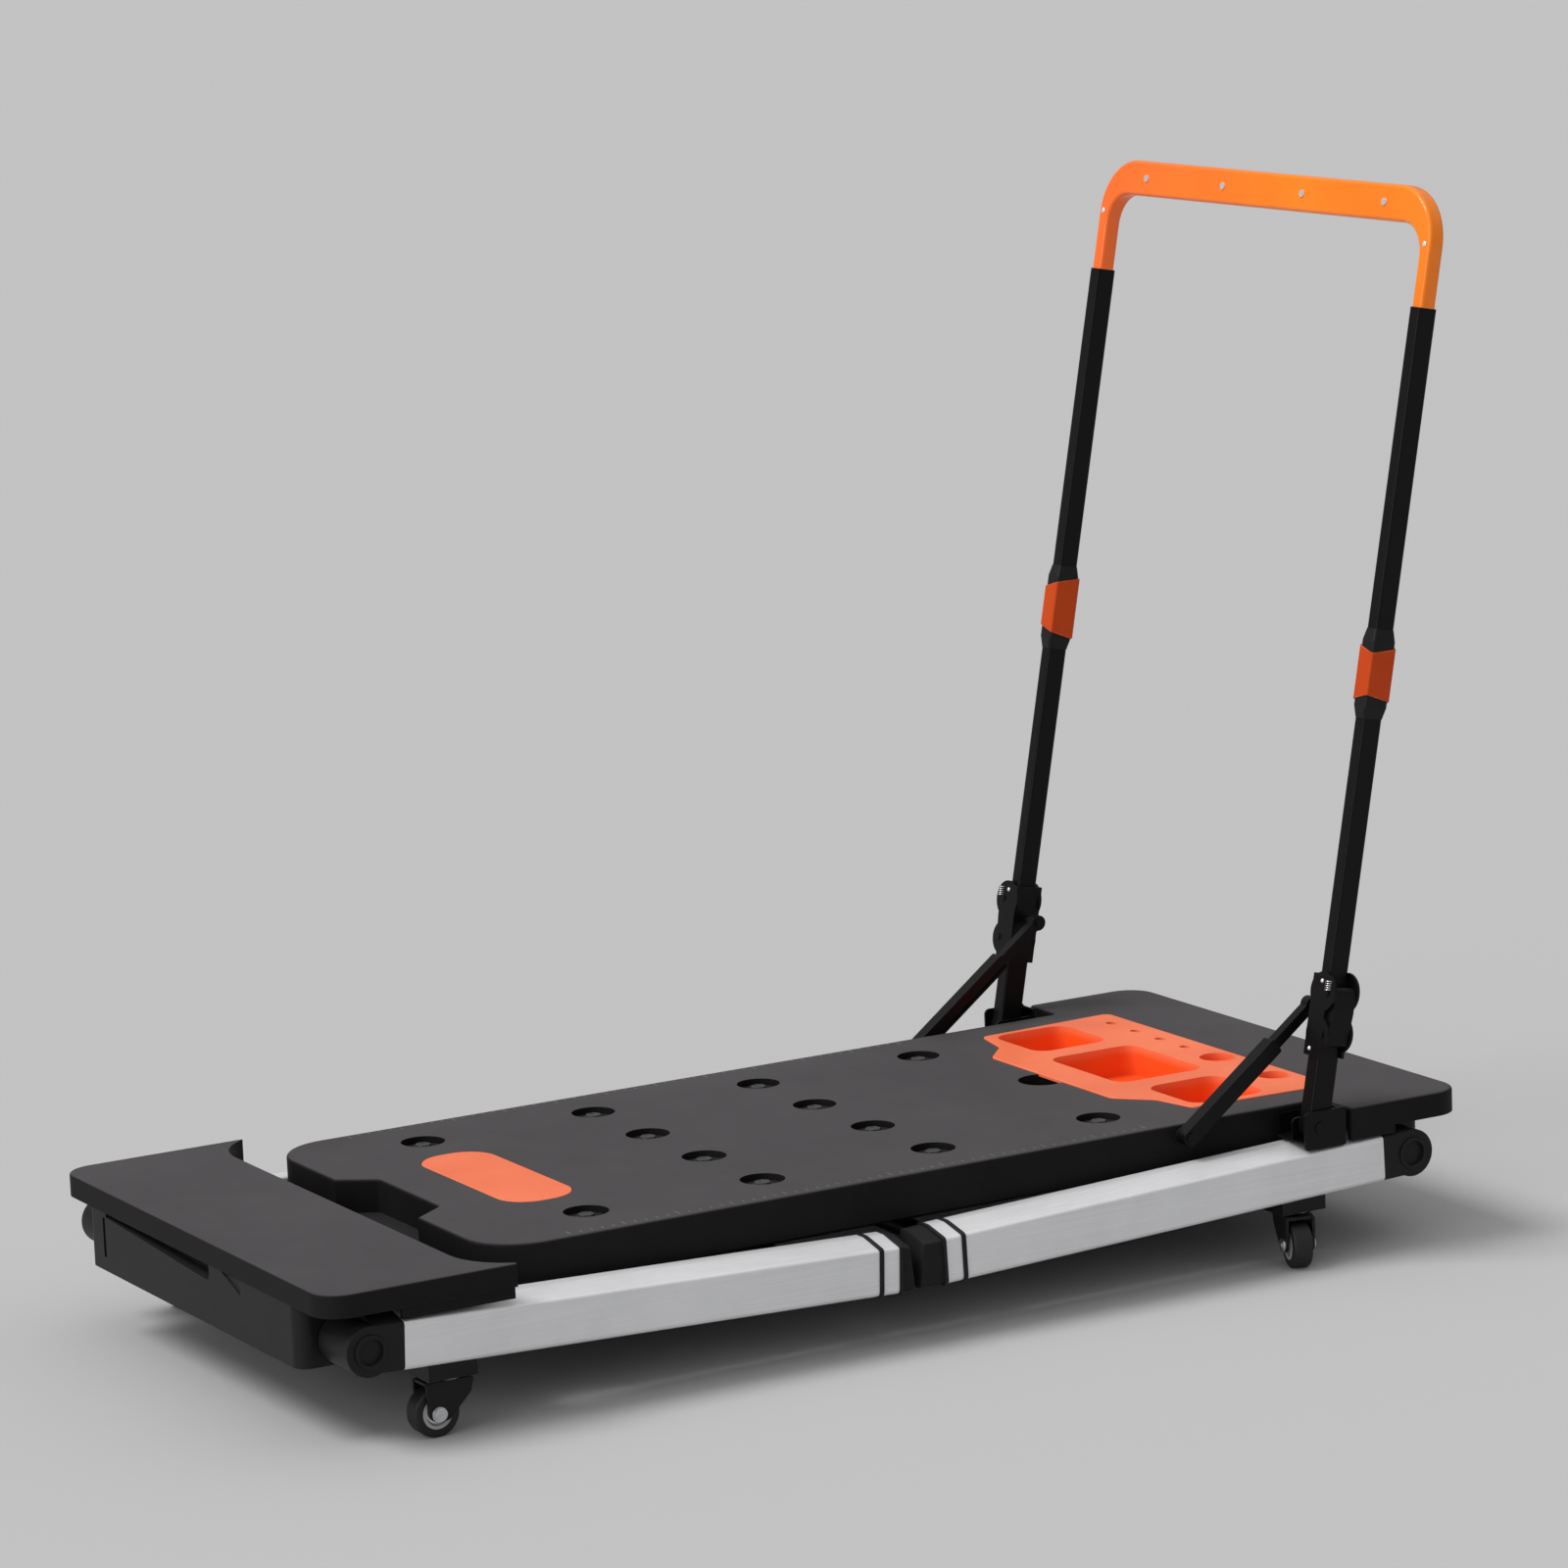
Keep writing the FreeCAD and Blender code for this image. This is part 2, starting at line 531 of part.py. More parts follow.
def front_plate():
    """Full-width plate ahead of the handle channel, ending in a pointed horn on each side."""
    horn_x = FRONT_INNER_X + HORN_LENGTH
    z0 = DECK_TOP - FRONT_PLATE_THICKNESS
    blank = slab([
        (-HALF_LENGTH, -HALF_WIDTH, FRONT_CORNER_R),
        (horn_x, -HALF_WIDTH),
        (horn_x, HALF_WIDTH),
        (-HALF_LENGTH, HALF_WIDTH, FRONT_CORNER_R),
    ], z0, DECK_TOP)
    tip_width = 3.2
    arc_x = FRONT_INNER_X + HORN_ARC_R
    arc_drop = math.sqrt(HORN_ARC_R ** 2 - (arc_x - horn_x) ** 2)
    arc_y = HALF_WIDTH - tip_width - arc_drop
    middle = slab([
        (FRONT_INNER_X, -arc_y), (horn_x + 1, -arc_y), (horn_x + 1, arc_y), (FRONT_INNER_X, arc_y),
    ], z0 - 1, DECK_TOP + 1)
    side = rod("Z", (arc_x, arc_y), HORN_ARC_R, z0 - 1, DECK_TOP + 1)
    plate = cut(blank, [middle, side, mirror_y(side)])
    lip_bottom = PIVOT_Z + RAIL_HALF_HEIGHT + SKIRT_CLEARANCE
    lip = box(FRONT_PIVOT_X + RAIL_START, horn_x - 2, HALF_WIDTH - SKIRT_THICKNESS, HALF_WIDTH - 1,
              lip_bottom, z0)
    plate = round_edges(plate, DECK_EDGE_ROUND - 1, DECK_TOP, (-HALF_LENGTH, FRONT_INNER_X - 1))
    bridge_z = DECK_TOP - GRAB_NOTCH_DROP
    bridge_y = HALF_NARROW - BRIDGE_END_GAP
    bridge = box(FRONT_INNER_X - 8, DECK_FRONT_X, -bridge_y, bridge_y,
                 bridge_z - BRIDGE_THICKNESS, bridge_z)
    web = box(FRONT_INNER_X - 8, FRONT_INNER_X - 3, -bridge_y, bridge_y,
              bridge_z - BRIDGE_THICKNESS, z0)
    return fuse([plate, lip, mirror_y(lip), bridge, web])


def end_housing(end_x, direction, inset, plate_thickness, pivot_x, recess_ends):
    """Hollow cross member under one end of the deck; it carries the leg pivots."""
    outer = end_x + direction * inset
    inner = outer + direction * HOUSING_DEPTH
    top = DECK_TOP - plate_thickness
    low = top - HOUSING_HEIGHT
    x0, x1 = min(outer, inner), max(outer, inner)
    shell = slab(rounded_rectangle(x0, x1, -HOUSING_SIDE_Y, HOUSING_SIDE_Y, HOUSING_CORNER_R), low, top)
    hollow = box(x0 + HOUSING_WALL, x1 - HOUSING_WALL, -HOUSING_SIDE_Y + 30, HOUSING_SIDE_Y - 30,
                 low - 1, top - HOUSING_WALL)
    y0, y1 = recess_ends
    recess_end = outer + direction * GRIP_RECESS_DEPTH
    recess = end_profile([
        (y0, top - GRIP_RECESS_HEIGHT + 3), (y0 + 4, top - GRIP_RECESS_HEIGHT), (y1, top - GRIP_RECESS_LOW),
        (y1, top + 1), (y0, top + 1),
    ], min(outer - direction, recess_end), max(outer - direction, recess_end))
    recess_wall = box(outer, recess_end + direction * 3, y0 - 3, y1 + 3,
                      top - GRIP_RECESS_HEIGHT - 3, top)
    shell = fuse([shell.cut(hollow), recess_wall])
    bore = rod("Y", (pivot_x, PIVOT_Z), PIVOT_PIN_R, HOUSING_SIDE_Y - 31, HOUSING_SIDE_Y + 1)
    return cut(shell, [recess, bore, mirror_y(bore)])


def front_housing_marks():
    """Waste for the front housing's face: an upright slot and a shallow three-cornered facet."""
    outer = -HALF_LENGTH + FRONT_HOUSING_INSET
    top = DECK_TOP - FRONT_PLATE_THICKNESS
    slot = box(outer - 1, outer + HOUSING_SLOT_DEPTH, HOUSING_SLOT_Y - HOUSING_SLOT_WIDTH, HOUSING_SLOT_Y,
               top - HOUSING_HEIGHT + 12, top - 5)
    facet = end_profile([
        (HOUSING_FACET_Y - 20, top - GRIP_RECESS_HEIGHT), (HOUSING_FACET_Y + 20, top + 1),
        (HOUSING_FACET_Y - 20, top + 1),
    ], outer - 1, outer + HOUSING_SLOT_DEPTH / 2)
    return Part.makeCompound([slot, facet])


def leg_pivot_pins():
    pins = []
    for x in (FRONT_PIVOT_X, REAR_PIVOT_X):
        pin = rod("Y", (x, PIVOT_Z), PIVOT_PIN_R, HOUSING_SIDE_Y - 28, RAIL_OUTER_Y - 14)
        pins += [pin, mirror_y(pin)]
    return Part.makeCompound(pins)


def subframe():
    """Welded tube frame under the deck: two long tubes and two cross tubes."""
    half = SUBFRAME_TUBE_WIDTH / 2
    y = SUBFRAME_SPACING / 2
    x0 = -HALF_LENGTH + FRONT_HOUSING_INSET + HOUSING_DEPTH
    x1 = HALF_LENGTH - REAR_HOUSING_INSET - HOUSING_DEPTH
    wall = SUBFRAME_TUBE_WALL
    long_tube = box(x0, x1, y - half, y + half, SUBFRAME_BOTTOM, DECK_BOTTOM)
    long_core = box(x0 - 1, x1 + 1, y - half + wall, y + half - wall,
                    SUBFRAME_BOTTOM + wall, DECK_BOTTOM - wall)
    solids = [long_tube, mirror_y(long_tube)]
    cores = [long_core, mirror_y(long_core)]
    for row in (1, 2):
        x = BOLT_FIRST_ROW_X + row * BOLT_ROW_PITCH
        solids.append(box(x - half, x + half, -y, y, SUBFRAME_BOTTOM, DECK_BOTTOM))
        cores.append(box(x - half + wall, x + half - wall, -y + half, y - half,
                         SUBFRAME_BOTTOM + wall, DECK_BOTTOM - wall))
    holes = [rod("Z", place, BOLT_SHANK_R, SUBFRAME_BOTTOM - 1, DECK_BOTTOM + 1)
             for place in bolt_places()]
    return cut(fuse(solids), cores + holes)


# --- Fold-out leg frames -------------------------------------------------------------------
def rail_section(grow=0.0):
    """Section of a side rail in (y, z): upright outer face and a crowned top."""
    outer = RAIL_OUTER_Y + grow
    inner = RAIL_INNER_Y - grow
    low = -RAIL_HALF_HEIGHT - grow
    high = RAIL_HALF_HEIGHT + grow
    return [
        (inner, low, 4 + grow), (outer, low, 5 + grow), (outer, high, 3 + grow),
        (RAIL_OUTER_Y - RAIL_CROWN_WIDTH, high + RAIL_CROWN, 8), (inner, high + RAIL_CROWN, 3 + grow),
    ]


def place_leg(shape, rear):
    """Turn a piece drawn with the pivot at the origin and the leg along +X into its place."""
    placed = shape.copy()
    placed.rotate(FreeCAD.Vector(0, 0, 0), FreeCAD.Vector(0, 1, 0), LEG_DROOP)
    if rear:
        placed = placed.mirror(FreeCAD.Vector(0, 0, 0), FreeCAD.Vector(1, 0, 0))
    placed.translate(FreeCAD.Vector(REAR_PIVOT_X if rear else FRONT_PIVOT_X, 0, PIVOT_Z))
    return placed


def rail_end(rear):
    return REAR_RAIL_END if rear else FRONT_RAIL_END


def leg_rail(rear):
    end = rail_end(rear)
    outer = end_profile(rail_section(), RAIL_START, end)
    return outer.cut(end_profile(rail_section(-RAIL_WALL), RAIL_START - 1, end + 1))


def leg_knuckle():
    """End fitting of a rail: it turns on the pivot pin and holds the release button."""
    disc = rod("Y", (0, 0), KNUCKLE_R, KNUCKLE_INNER_Y, RAIL_OUTER_Y)
    block = end_profile(rail_section(), 4, RAIL_START)
    spigot = end_profile(rail_section(-RAIL_WALL - 0.2), RAIL_START - 1, RAIL_START + SPIGOT_LENGTH)
    body = fuse([disc, block, spigot])
    pocket_floor = RAIL_OUTER_Y - BUTTON_THICKNESS - BUTTON_TRAVEL
    return cut(body, [
        rod("Y", (0, 0), PIVOT_PIN_R + RUNNING_CLEARANCE, KNUCKLE_INNER_Y - 1, RAIL_OUTER_Y - 13),
        rod("Y", (0, 0), BUTTON_R + SLIDING_CLEARANCE, pocket_floor, RAIL_OUTER_Y + 1),
    ])


def leg_button():
    outer = RAIL_OUTER_Y + BUTTON_PROUD
    disc = rod("Y", (0, 0), BUTTON_R, outer - BUTTON_THICKNESS, outer)
    dish = rod("Y", (0, 0), BUTTON_R - BUTTON_RIM, outer - BUTTON_DISH, outer + 1)
    return disc.cut(dish)


def leg_collars(rear):
    end = rail_end(rear)
    first = end_profile(rail_section(COLLAR_PROUD), end, end + COLLAR_THICKNESS)
    second_x = end + COLLAR_THICKNESS + SLEEVE_LENGTH
    second = end_profile(rail_section(COLLAR_PROUD), second_x, second_x + END_COLLAR_THICKNESS)
    return Part.makeCompound([first, mirror_y(first), second, mirror_y(second)])


def leg_sleeve(rear):
    start = rail_end(rear) + COLLAR_THICKNESS
    return end_profile(rail_section(), start, start + SLEEVE_LENGTH)


def leg_foot(rear):
    """Rubber foot whose sole lies flat on the floor when the leg stands splayed."""
    start = rail_end(rear) + COLLAR_THICKNESS + SLEEVE_LENGTH + END_COLLAR_THICKNESS
    blank = end_profile(rail_section(-1.0), start, LEG_REACH + 20)
    reach = LEG_REACH
    slope = math.tan(math.radians(LEG_SPLAY))
    low = -RAIL_HALF_HEIGHT - 5
    high = RAIL_HALF_HEIGHT + RAIL_CROWN + 5
    waste = side_profile([
        (reach, low), (reach + 60, low), (reach + 60, high), (reach - (high - low) * slope, high),
    ], 0, HALF_WIDTH + 20)
    return blank.cut(waste)


def leg_cross_tube():
    place = (CROSS_TUBE_REACH, -CROSS_TUBE_DROP)
    return tube("Y", place, CROSS_TUBE_R, CROSS_TUBE_R - CROSS_TUBE_WALL, -RAIL_INNER_Y, RAIL_INNER_Y)


# --- Casters -------------------------------------------------------------------------------
def caster_place(end):
    if end == "front":
        return FRONT_PIVOT_X + FRONT_CASTER_REACH
    return REAR_PIVOT_X - REAR_CASTER_REACH


def rail_bottom(end, x):
    pivot_x = FRONT_PIVOT_X if end == "front" else REAR_PIVOT_X
    droop = math.radians(LEG_DROOP)
    return PIVOT_Z - RAIL_HALF_HEIGHT / math.cos(droop) - abs(x - pivot_x) * math.tan(droop)


def caster_mount(end):
    """Wedge, plate and stud fixed under a rail; the fork turns on the stud."""
    x = caster_place(end)
    plate_z = CASTER_FORK_TOP + SLIDING_CLEARANCE
    half = CASTER_PLATE / 2
    half_y = CASTER_PLATE_WIDTH / 2
    block = side_profile([
        (x - half, plate_z + 2), (x + half, plate_z + 2),
        (x + half, rail_bottom(end, x + half)), (x - half, rail_bottom(end, x - half)),
    ], RAIL_MIDDLE_Y - half_y, RAIL_MIDDLE_Y + half_y)
    race = rod("Z", (x, RAIL_MIDDLE_Y), CASTER_RACE_R, plate_z, plate_z + 3)
    stud = rod("Z", (x, RAIL_MIDDLE_Y), CASTER_STUD_R, CASTER_FORK_TOP - CASTER_FORK_THICKNESS - 2,
               plate_z + 1)
    return fuse([block, race, stud])


def caster_fork():
    """Fork of a caster whose stud is at the origin, with the wheel trailing towards -X."""
    top = CASTER_FORK_TOP
    cheek_in = CASTER_WHEEL_WIDTH / 2 + CASTER_CHEEK_GAP
    cheek_out = cheek_in + CASTER_FORK_THICKNESS
    axle = -CASTER_TRAIL
    crown = slab(rounded_rectangle(-22, 20, -cheek_out, cheek_out, 6), top - CASTER_FORK_THICKNESS, top)
    cheek = side_profile([
        (-22, top - 1), (20, top - 1), (17, top - 12, 4), (axle + 8, CASTER_WHEEL_R - 6, 8),
        (axle - 9, CASTER_WHEEL_R - 6, 8), (axle - 10, CASTER_WHEEL_R + 8, 4),
    ], cheek_in, cheek_out)
    fork = fuse([crown, cheek, mirror_y(cheek)])
    return cut(fork, [
        rod("Z", (0, 0), CASTER_STUD_R + RUNNING_CLEARANCE, 0, top + 1),
        rod("Y", (axle, CASTER_WHEEL_R), CASTER_AXLE_R, -30, 30),
    ])


def caster_axle():
    cheek_out = CASTER_WHEEL_WIDTH / 2 + CASTER_CHEEK_GAP + CASTER_FORK_THICKNESS
    place = (-CASTER_TRAIL, CASTER_WHEEL_R)
    pin = rod("Y", place, CASTER_AXLE_R, -cheek_out - 2.5, cheek_out + 2.5)
    heads = [rod("Y", place, 5.5, cheek_out, cheek_out + 2),
             rod("Y", place, 5.5, -cheek_out - 2, -cheek_out)]
    return fuse([pin] + heads)


def caster_tyre():
    place = (-CASTER_TRAIL, CASTER_WHEEL_R)
    half = CASTER_WHEEL_WIDTH / 2
    ring = rod("Y", place, CASTER_WHEEL_R, -half, half)
    edges = [edge for edge in ring.Edges if isinstance(edge.Curve, Part.Circle)]
    ring = ring.makeFillet(2.5, edges)
    return ring.cut(rod("Y", place, CASTER_HUB_R, -half - 1, half + 1))


def caster_hub():
    place = (-CASTER_TRAIL, CASTER_WHEEL_R)
    half = CASTER_WHEEL_WIDTH / 2
    disc = rod("Y", place, CASTER_HUB_R, -half, half)
    dish = tube("Y", place, CASTER_HUB_R - 2.5, 5.5, half - 3, half + 1)
    return cut(disc, [rod("Y", place, CASTER_AXLE_R + RUNNING_CLEARANCE, -half - 1, half + 1),
                      dish, mirror_y(dish)])


def place_caster(shape, end, side):
    """Set a caster piece under its rail, turned as parked."""
    turn = -SIDES[side] * REAR_CASTER_TURN if end == "rear" else 0
    placed = shape.copy()
    placed.rotate(FreeCAD.Vector(0, 0, 0), FreeCAD.Vector(0, 0, 1), turn)
    placed.translate(FreeCAD.Vector(caster_place(end), SIDES[side] * RAIL_MIDDLE_Y, 0))
    return placed


# --- Folding handle ------------------------------------------------------------------------
# Handle pieces are drawn upright: the pivot at the origin, x to the back, z along the post.
def place_handle(shape):
    placed = shape.copy()
    placed.rotate(FreeCAD.Vector(0, 0, 0), FreeCAD.Vector(0, 1, 0), HANDLE_LEAN)
    placed.translate(FreeCAD.Vector(HANDLE_X, 0, HANDLE_Z))
    return placed


def post_bar(depth, width, z0, z1, radius=POST_CORNER_R):
    return slab(rounded_rectangle(-depth / 2, depth / 2, POST_Y - width / 2, POST_Y + width / 2, radius),
                z0, z1)


def lower_post():
    """Lower tube of a post, wider from its rounded foot up to the latch."""
    foot = rod("Y", (0, 0), HANDLE_FOOT_R, POST_Y - STUB_WIDTH / 2, POST_Y + STUB_WIDTH / 2)
    stub = post_bar(STUB_DEPTH, STUB_WIDTH, 0, STUB_LENGTH)
    upper = post_bar(POST_DEPTH, POST_WIDTH, STUB_LENGTH - 1, COUPLER_REACH)
    core = post_bar(POST_DEPTH - 2 * POST_WALL, POST_WIDTH - 2 * POST_WALL, 20, COUPLER_REACH + 1, 1)
    bore = rod("Y", (0, 0), HANDLE_PIN_R + RUNNING_CLEARANCE, POST_Y - 20, POST_Y + 20)
    return cut(fuse([foot, stub, upper]), [core, bore])


def upper_post():
    outer = post_bar(POST_DEPTH, POST_WIDTH, COUPLER_REACH + 1, GRIP_START)
    core = post_bar(GRIP_LEG_DEPTH, GRIP_LEG_WIDTH, COUPLER_REACH, GRIP_START + 1, 1.5)
    return outer.cut(core)


def coupler():
    """Moulded joint between the two tubes: it swells from the tube's size to its middle."""
    grow_x = (COUPLER_DEPTH - POST_DEPTH) / 2
    grow_y = (COUPLER_WIDTH - POST_WIDTH) / 2
    half = COUPLER_LENGTH / 2
    flat = BAND_FRONT_HALF + BAND_INNER_RISE + BAND_BACK_RISE
    levels = ((-half, 0.4, 0.4), (-flat, grow_x, grow_y), (flat, grow_x, grow_y), (half, 0.4, 0.4))
    wires = []
    for z, add_x, add_y in levels:
        x = POST_DEPTH / 2 + add_x
        y = POST_WIDTH / 2 + add_y
        wire = outline_wire(rounded_rectangle(-x, x, POST_Y - y, POST_Y + y, POST_CORNER_R + 0.5))
        wire.translate(FreeCAD.Vector(0, 0, COUPLER_REACH + z))
        wires.append(wire)
    swell = Part.makeLoft(wires, True, True)
    hole = post_bar(POST_DEPTH, POST_WIDTH, COUPLER_REACH - half - 1, COUPLER_REACH + half + 1)
    return cut(swell, [hole, band_blank()])


def band_end_waste(end):
    """Waste beyond one end of the band; it starts at a plane that slants both ways."""
    near = []
    far = []
    for along, across in ((-1, -1), (1, -1), (1, 1), (-1, 1)):
        reach = BAND_FRONT_HALF + BAND_BACK_RISE * (along + 0.5) + BAND_INNER_RISE * (0.5 - across)
        x = along * BAND_DEPTH
        y = POST_Y + across * BAND_WIDTH
        near.append(FreeCAD.Vector(x, y, COUPLER_REACH + end * reach))
        far.append(FreeCAD.Vector(x, y, COUPLER_REACH + end * COUPLER_LENGTH))
    wires = [Part.makePolygon(ring + ring[:1]) for ring in (near, far)]
    return Part.makeLoft(wires, True, True)


def band_blank():
    """Coloured band round the coupler; each end is cut by one slanting plane."""
    reach = BAND_FRONT_HALF + BAND_INNER_RISE + BAND_BACK_RISE
    band = post_bar(BAND_DEPTH, BAND_WIDTH, COUPLER_REACH - reach, COUPLER_REACH + reach, 2)
    core = post_bar(COUPLER_DEPTH - 2, COUPLER_WIDTH - 2, COUPLER_REACH - reach - 1,
                    COUPLER_REACH + reach + 1, 2)
    return cut(band, [core, band_end_waste(1), band_end_waste(-1)])


def grip():
    """Orange top of the handle: two round-cornered legs and a broad flat cross bar."""
    half_bar = GRIP_BAR_HEIGHT / 2
    top = HANDLE_REACH + half_bar
    leg_out = POST_Y + POST_WIDTH / 2
    leg_in = POST_Y - POST_WIDTH / 2
    join = GRIP_START
    outline = [
        (-leg_out, join), (-leg_out, top, GRIP_OUTER_R), (leg_out, top, GRIP_OUTER_R),
        (leg_out, join), (leg_in, join), (leg_in, top - GRIP_BAR_HEIGHT, GRIP_INNER_R),
        (-leg_in, top - GRIP_BAR_HEIGHT, GRIP_INNER_R), (-leg_in, join),
    ]
    frame = end_profile(outline, -GRIP_BAR_DEPTH / 2, GRIP_BAR_DEPTH / 2)
    long_edges = []
    for edge in frame.Edges:
        bounds = edge.BoundBox
        if bounds.XMax - bounds.XMin < 1e-3 and bounds.ZMax > join + 1:
            long_edges.append(edge)
    frame = frame.makeFillet(3.5, long_edges)
    tang = post_bar(GRIP_LEG_DEPTH - 2, GRIP_LEG_WIDTH - 1.4, GRIP_START - 60, GRIP_START + 1, 1.5)
    return fuse([frame, tang, mirror_y(tang)])


def grip_rivets():
    rivets = []
    for step in (-1.5, -0.5, 0.5, 1.5):
        place = (step * GRIP_RIVET_PITCH, HANDLE_REACH)
        start = -GRIP_BAR_DEPTH / 2 - GRIP_RIVET_HEIGHT
        rivets.append(rod("X", place, GRIP_RIVET_R, start, -GRIP_BAR_DEPTH / 2))
    return Part.makeCompound(rivets)


def latch_plates():
    """Two lobed plates in front of and behind each post, with the pins of brace and lever."""
    outer_y = POST_Y + STUB_WIDTH / 2
    inner_y = POST_Y - STUB_WIDTH / 2
    half = STUB_DEPTH / 2
    pieces = [box(-half, half, inner_y - LATCH_PLATE, inner_y, LATCH_START, LATCH_END)]
    for face in (-1, 1):
        near = face * half
        far = face * (half + LATCH_PLATE)
        pieces.append(box(near, far, inner_y - LATCH_PLATE, outer_y + 3, LATCH_START, LATCH_END))
        for reach, radius in LATCH_LOBES:
            pieces.append(rod("X", (outer_y - LOBE_INSET, reach), radius, near, far))
            pieces.append(rod("X", (outer_y + 3, reach), 3.2, near, far + face))
    pieces.append(rod("Y", (0, BRACE_PIVOT_REACH), BRACE_PIN_R, BRACE_INNER_Y, inner_y - LATCH_PLATE + 1))
    lever_pin = rod("X", (outer_y + LEVER_OUT, LATCH_LOBES[1][0]), LEVER_PIN_R, -half - 1, half + 1)
    return both_sides(fuse(pieces + [lever_pin]))


def lock_lever():
    """Sprung lever between the lobed plates, on the post's outer face."""
    outer_y = POST_Y + STUB_WIDTH / 2
    half = STUB_DEPTH / 2 - LEVER_SIDE_GAP
    y = outer_y + LEVER_OUT
    z = LATCH_LOBES[1][0]
    near = outer_y + LEVER_FACE_GAP
    top = rod("X", (y, z), LEVER_R, -half, half)
    arm = end_profile([
        (near, z), (near, z - LEVER_LENGTH, 2), (y + 2, z - LEVER_LENGTH - 4, 2), (y + LEVER_R, z - 16, 8),
        (y + LEVER_R, z),
    ], -half, half)
    bore = rod("X", (y, z), LEVER_PIN_R + RUNNING_CLEARANCE, -half - 1, half + 1)
    return fuse([top, arm]).cut(bore)


def base_bracket():
    """Folded steel foot bracket of a post, open to the front so that the post can fold."""
    x1 = REAR_WIDE_X - RECESS_CORNER_R - BRACKET_END_GAP
    x0 = x1 - BRACKET_LENGTH
    inner_y = POST_Y - STUB_WIDTH / 2 - BRACKET_SIDE_GAP
    outer_y = POST_Y + STUB_WIDTH / 2 + BRACKET_SIDE_GAP
    top = DECK_TOP + HANDLE_PIVOT_DROP * 0.25
    floor_z = HANDLE_Z - BRACKET_FLOOR_DROP
    cheek_z = HANDLE_Z - BRACKET_CHEEK_DROP
    outer = side_profile([(x0, cheek_z, 3), (x1, cheek_z, 2), (x1, top, 2), (x0, top, 5)],
                         outer_y, outer_y + BRACKET_PLATE)
    inner_top = HANDLE_Z + BRACKET_INNER_RISE
    inner = side_profile([(x0, floor_z - BRACKET_PLATE, 2), (x1, floor_z - BRACKET_PLATE, 2),
                          (x1, inner_top, 2), (x0, inner_top, 5)], inner_y - BRACKET_PLATE, inner_y)
    floor = box(x0, x1, HALF_NARROW, outer_y + 0.5, floor_z - BRACKET_PLATE, floor_z)
    back = box(x1 - BRACKET_PLATE, x1, inner_y - 1, outer_y + 1, floor_z - BRACKET_PLATE, top - 2)
    flange = box(x0 + 4, x1, HALF_NARROW, HALF_NARROW + BRACKET_PLATE, floor_z - BRACKET_PLATE, DECK_TOP - 6)
    bracket = fuse([outer, inner, floor, back, flange])
    return both_sides(bracket.cut(rod("Y", (HANDLE_X, HANDLE_Z), HANDLE_PIN_R, 0, HALF_WIDTH + 5)))


def handle_pivot_pins():
    outer = POST_Y + STUB_WIDTH / 2 + BRACKET_SIDE_GAP + BRACKET_PLATE
    inner = POST_Y - STUB_WIDTH / 2 - BRACKET_SIDE_GAP - BRACKET_PLATE
    pin = rod("Y", (HANDLE_X, HANDLE_Z), HANDLE_PIN_R, inner - 1, outer)
    head = rod("Y", (HANDLE_X, HANDLE_Z), HANDLE_PIN_R + 1.5, outer, outer + 1.0)
    return both_sides(fuse([pin, head]))


def brace():
    """Brace between a latch and the deck: an outer channel over a flat inner bar."""
    half = BRACE_DEPTH / 2
    length = BRACE_LENGTH
    split = length * BRACE_OVERLAP
    outer = side_profile([
        (-half, -half, half - 0.5), (split, -half, 2), (split, half, 2), (-half, half, half - 0.5),
    ], BRACE_INNER_Y, BRACE_OUTER_Y)
    slot = box(half + 4, split + 1, BRACE_INNER_Y - 1, BRACE_OUTER_Y - BRACE_WALL,
               -half + BRACE_WALL, half - BRACE_WALL)
    thin = BRACE_INNER_DEPTH / 2
    inner = side_profile([
        (half, -thin), (length + thin, -thin, thin - 0.5), (length + thin, thin, thin - 0.5), (half, thin),
    ], BRACE_INNER_Y + 2, BRACE_OUTER_Y - BRACE_WALL)
    eye = rod("Y", (length, 0), BRACE_PIN_R + 3.5, BRACE_INNER_Y + 2, BRACE_OUTER_Y - BRACE_WALL)
    bore = rod("Y", (length, 0), BRACE_PIN_R + RUNNING_CLEARANCE, 0, HALF_WIDTH)
    rivet = rod("Y", (0, 0), 4.5, BRACE_OUTER_Y, BRACE_OUTER_Y + 1.6)
    shape = fuse([outer.cut(slot), inner, eye, rivet]).cut(bore)
    shape.rotate(FreeCAD.Vector(0, 0, 0), FreeCAD.Vector(0, 1, 0), -BRACE_SLOPE)
    shape.translate(FreeCAD.Vector(BRACE_FOOT_X, 0, BRACE_FOOT_Z))
    return shape


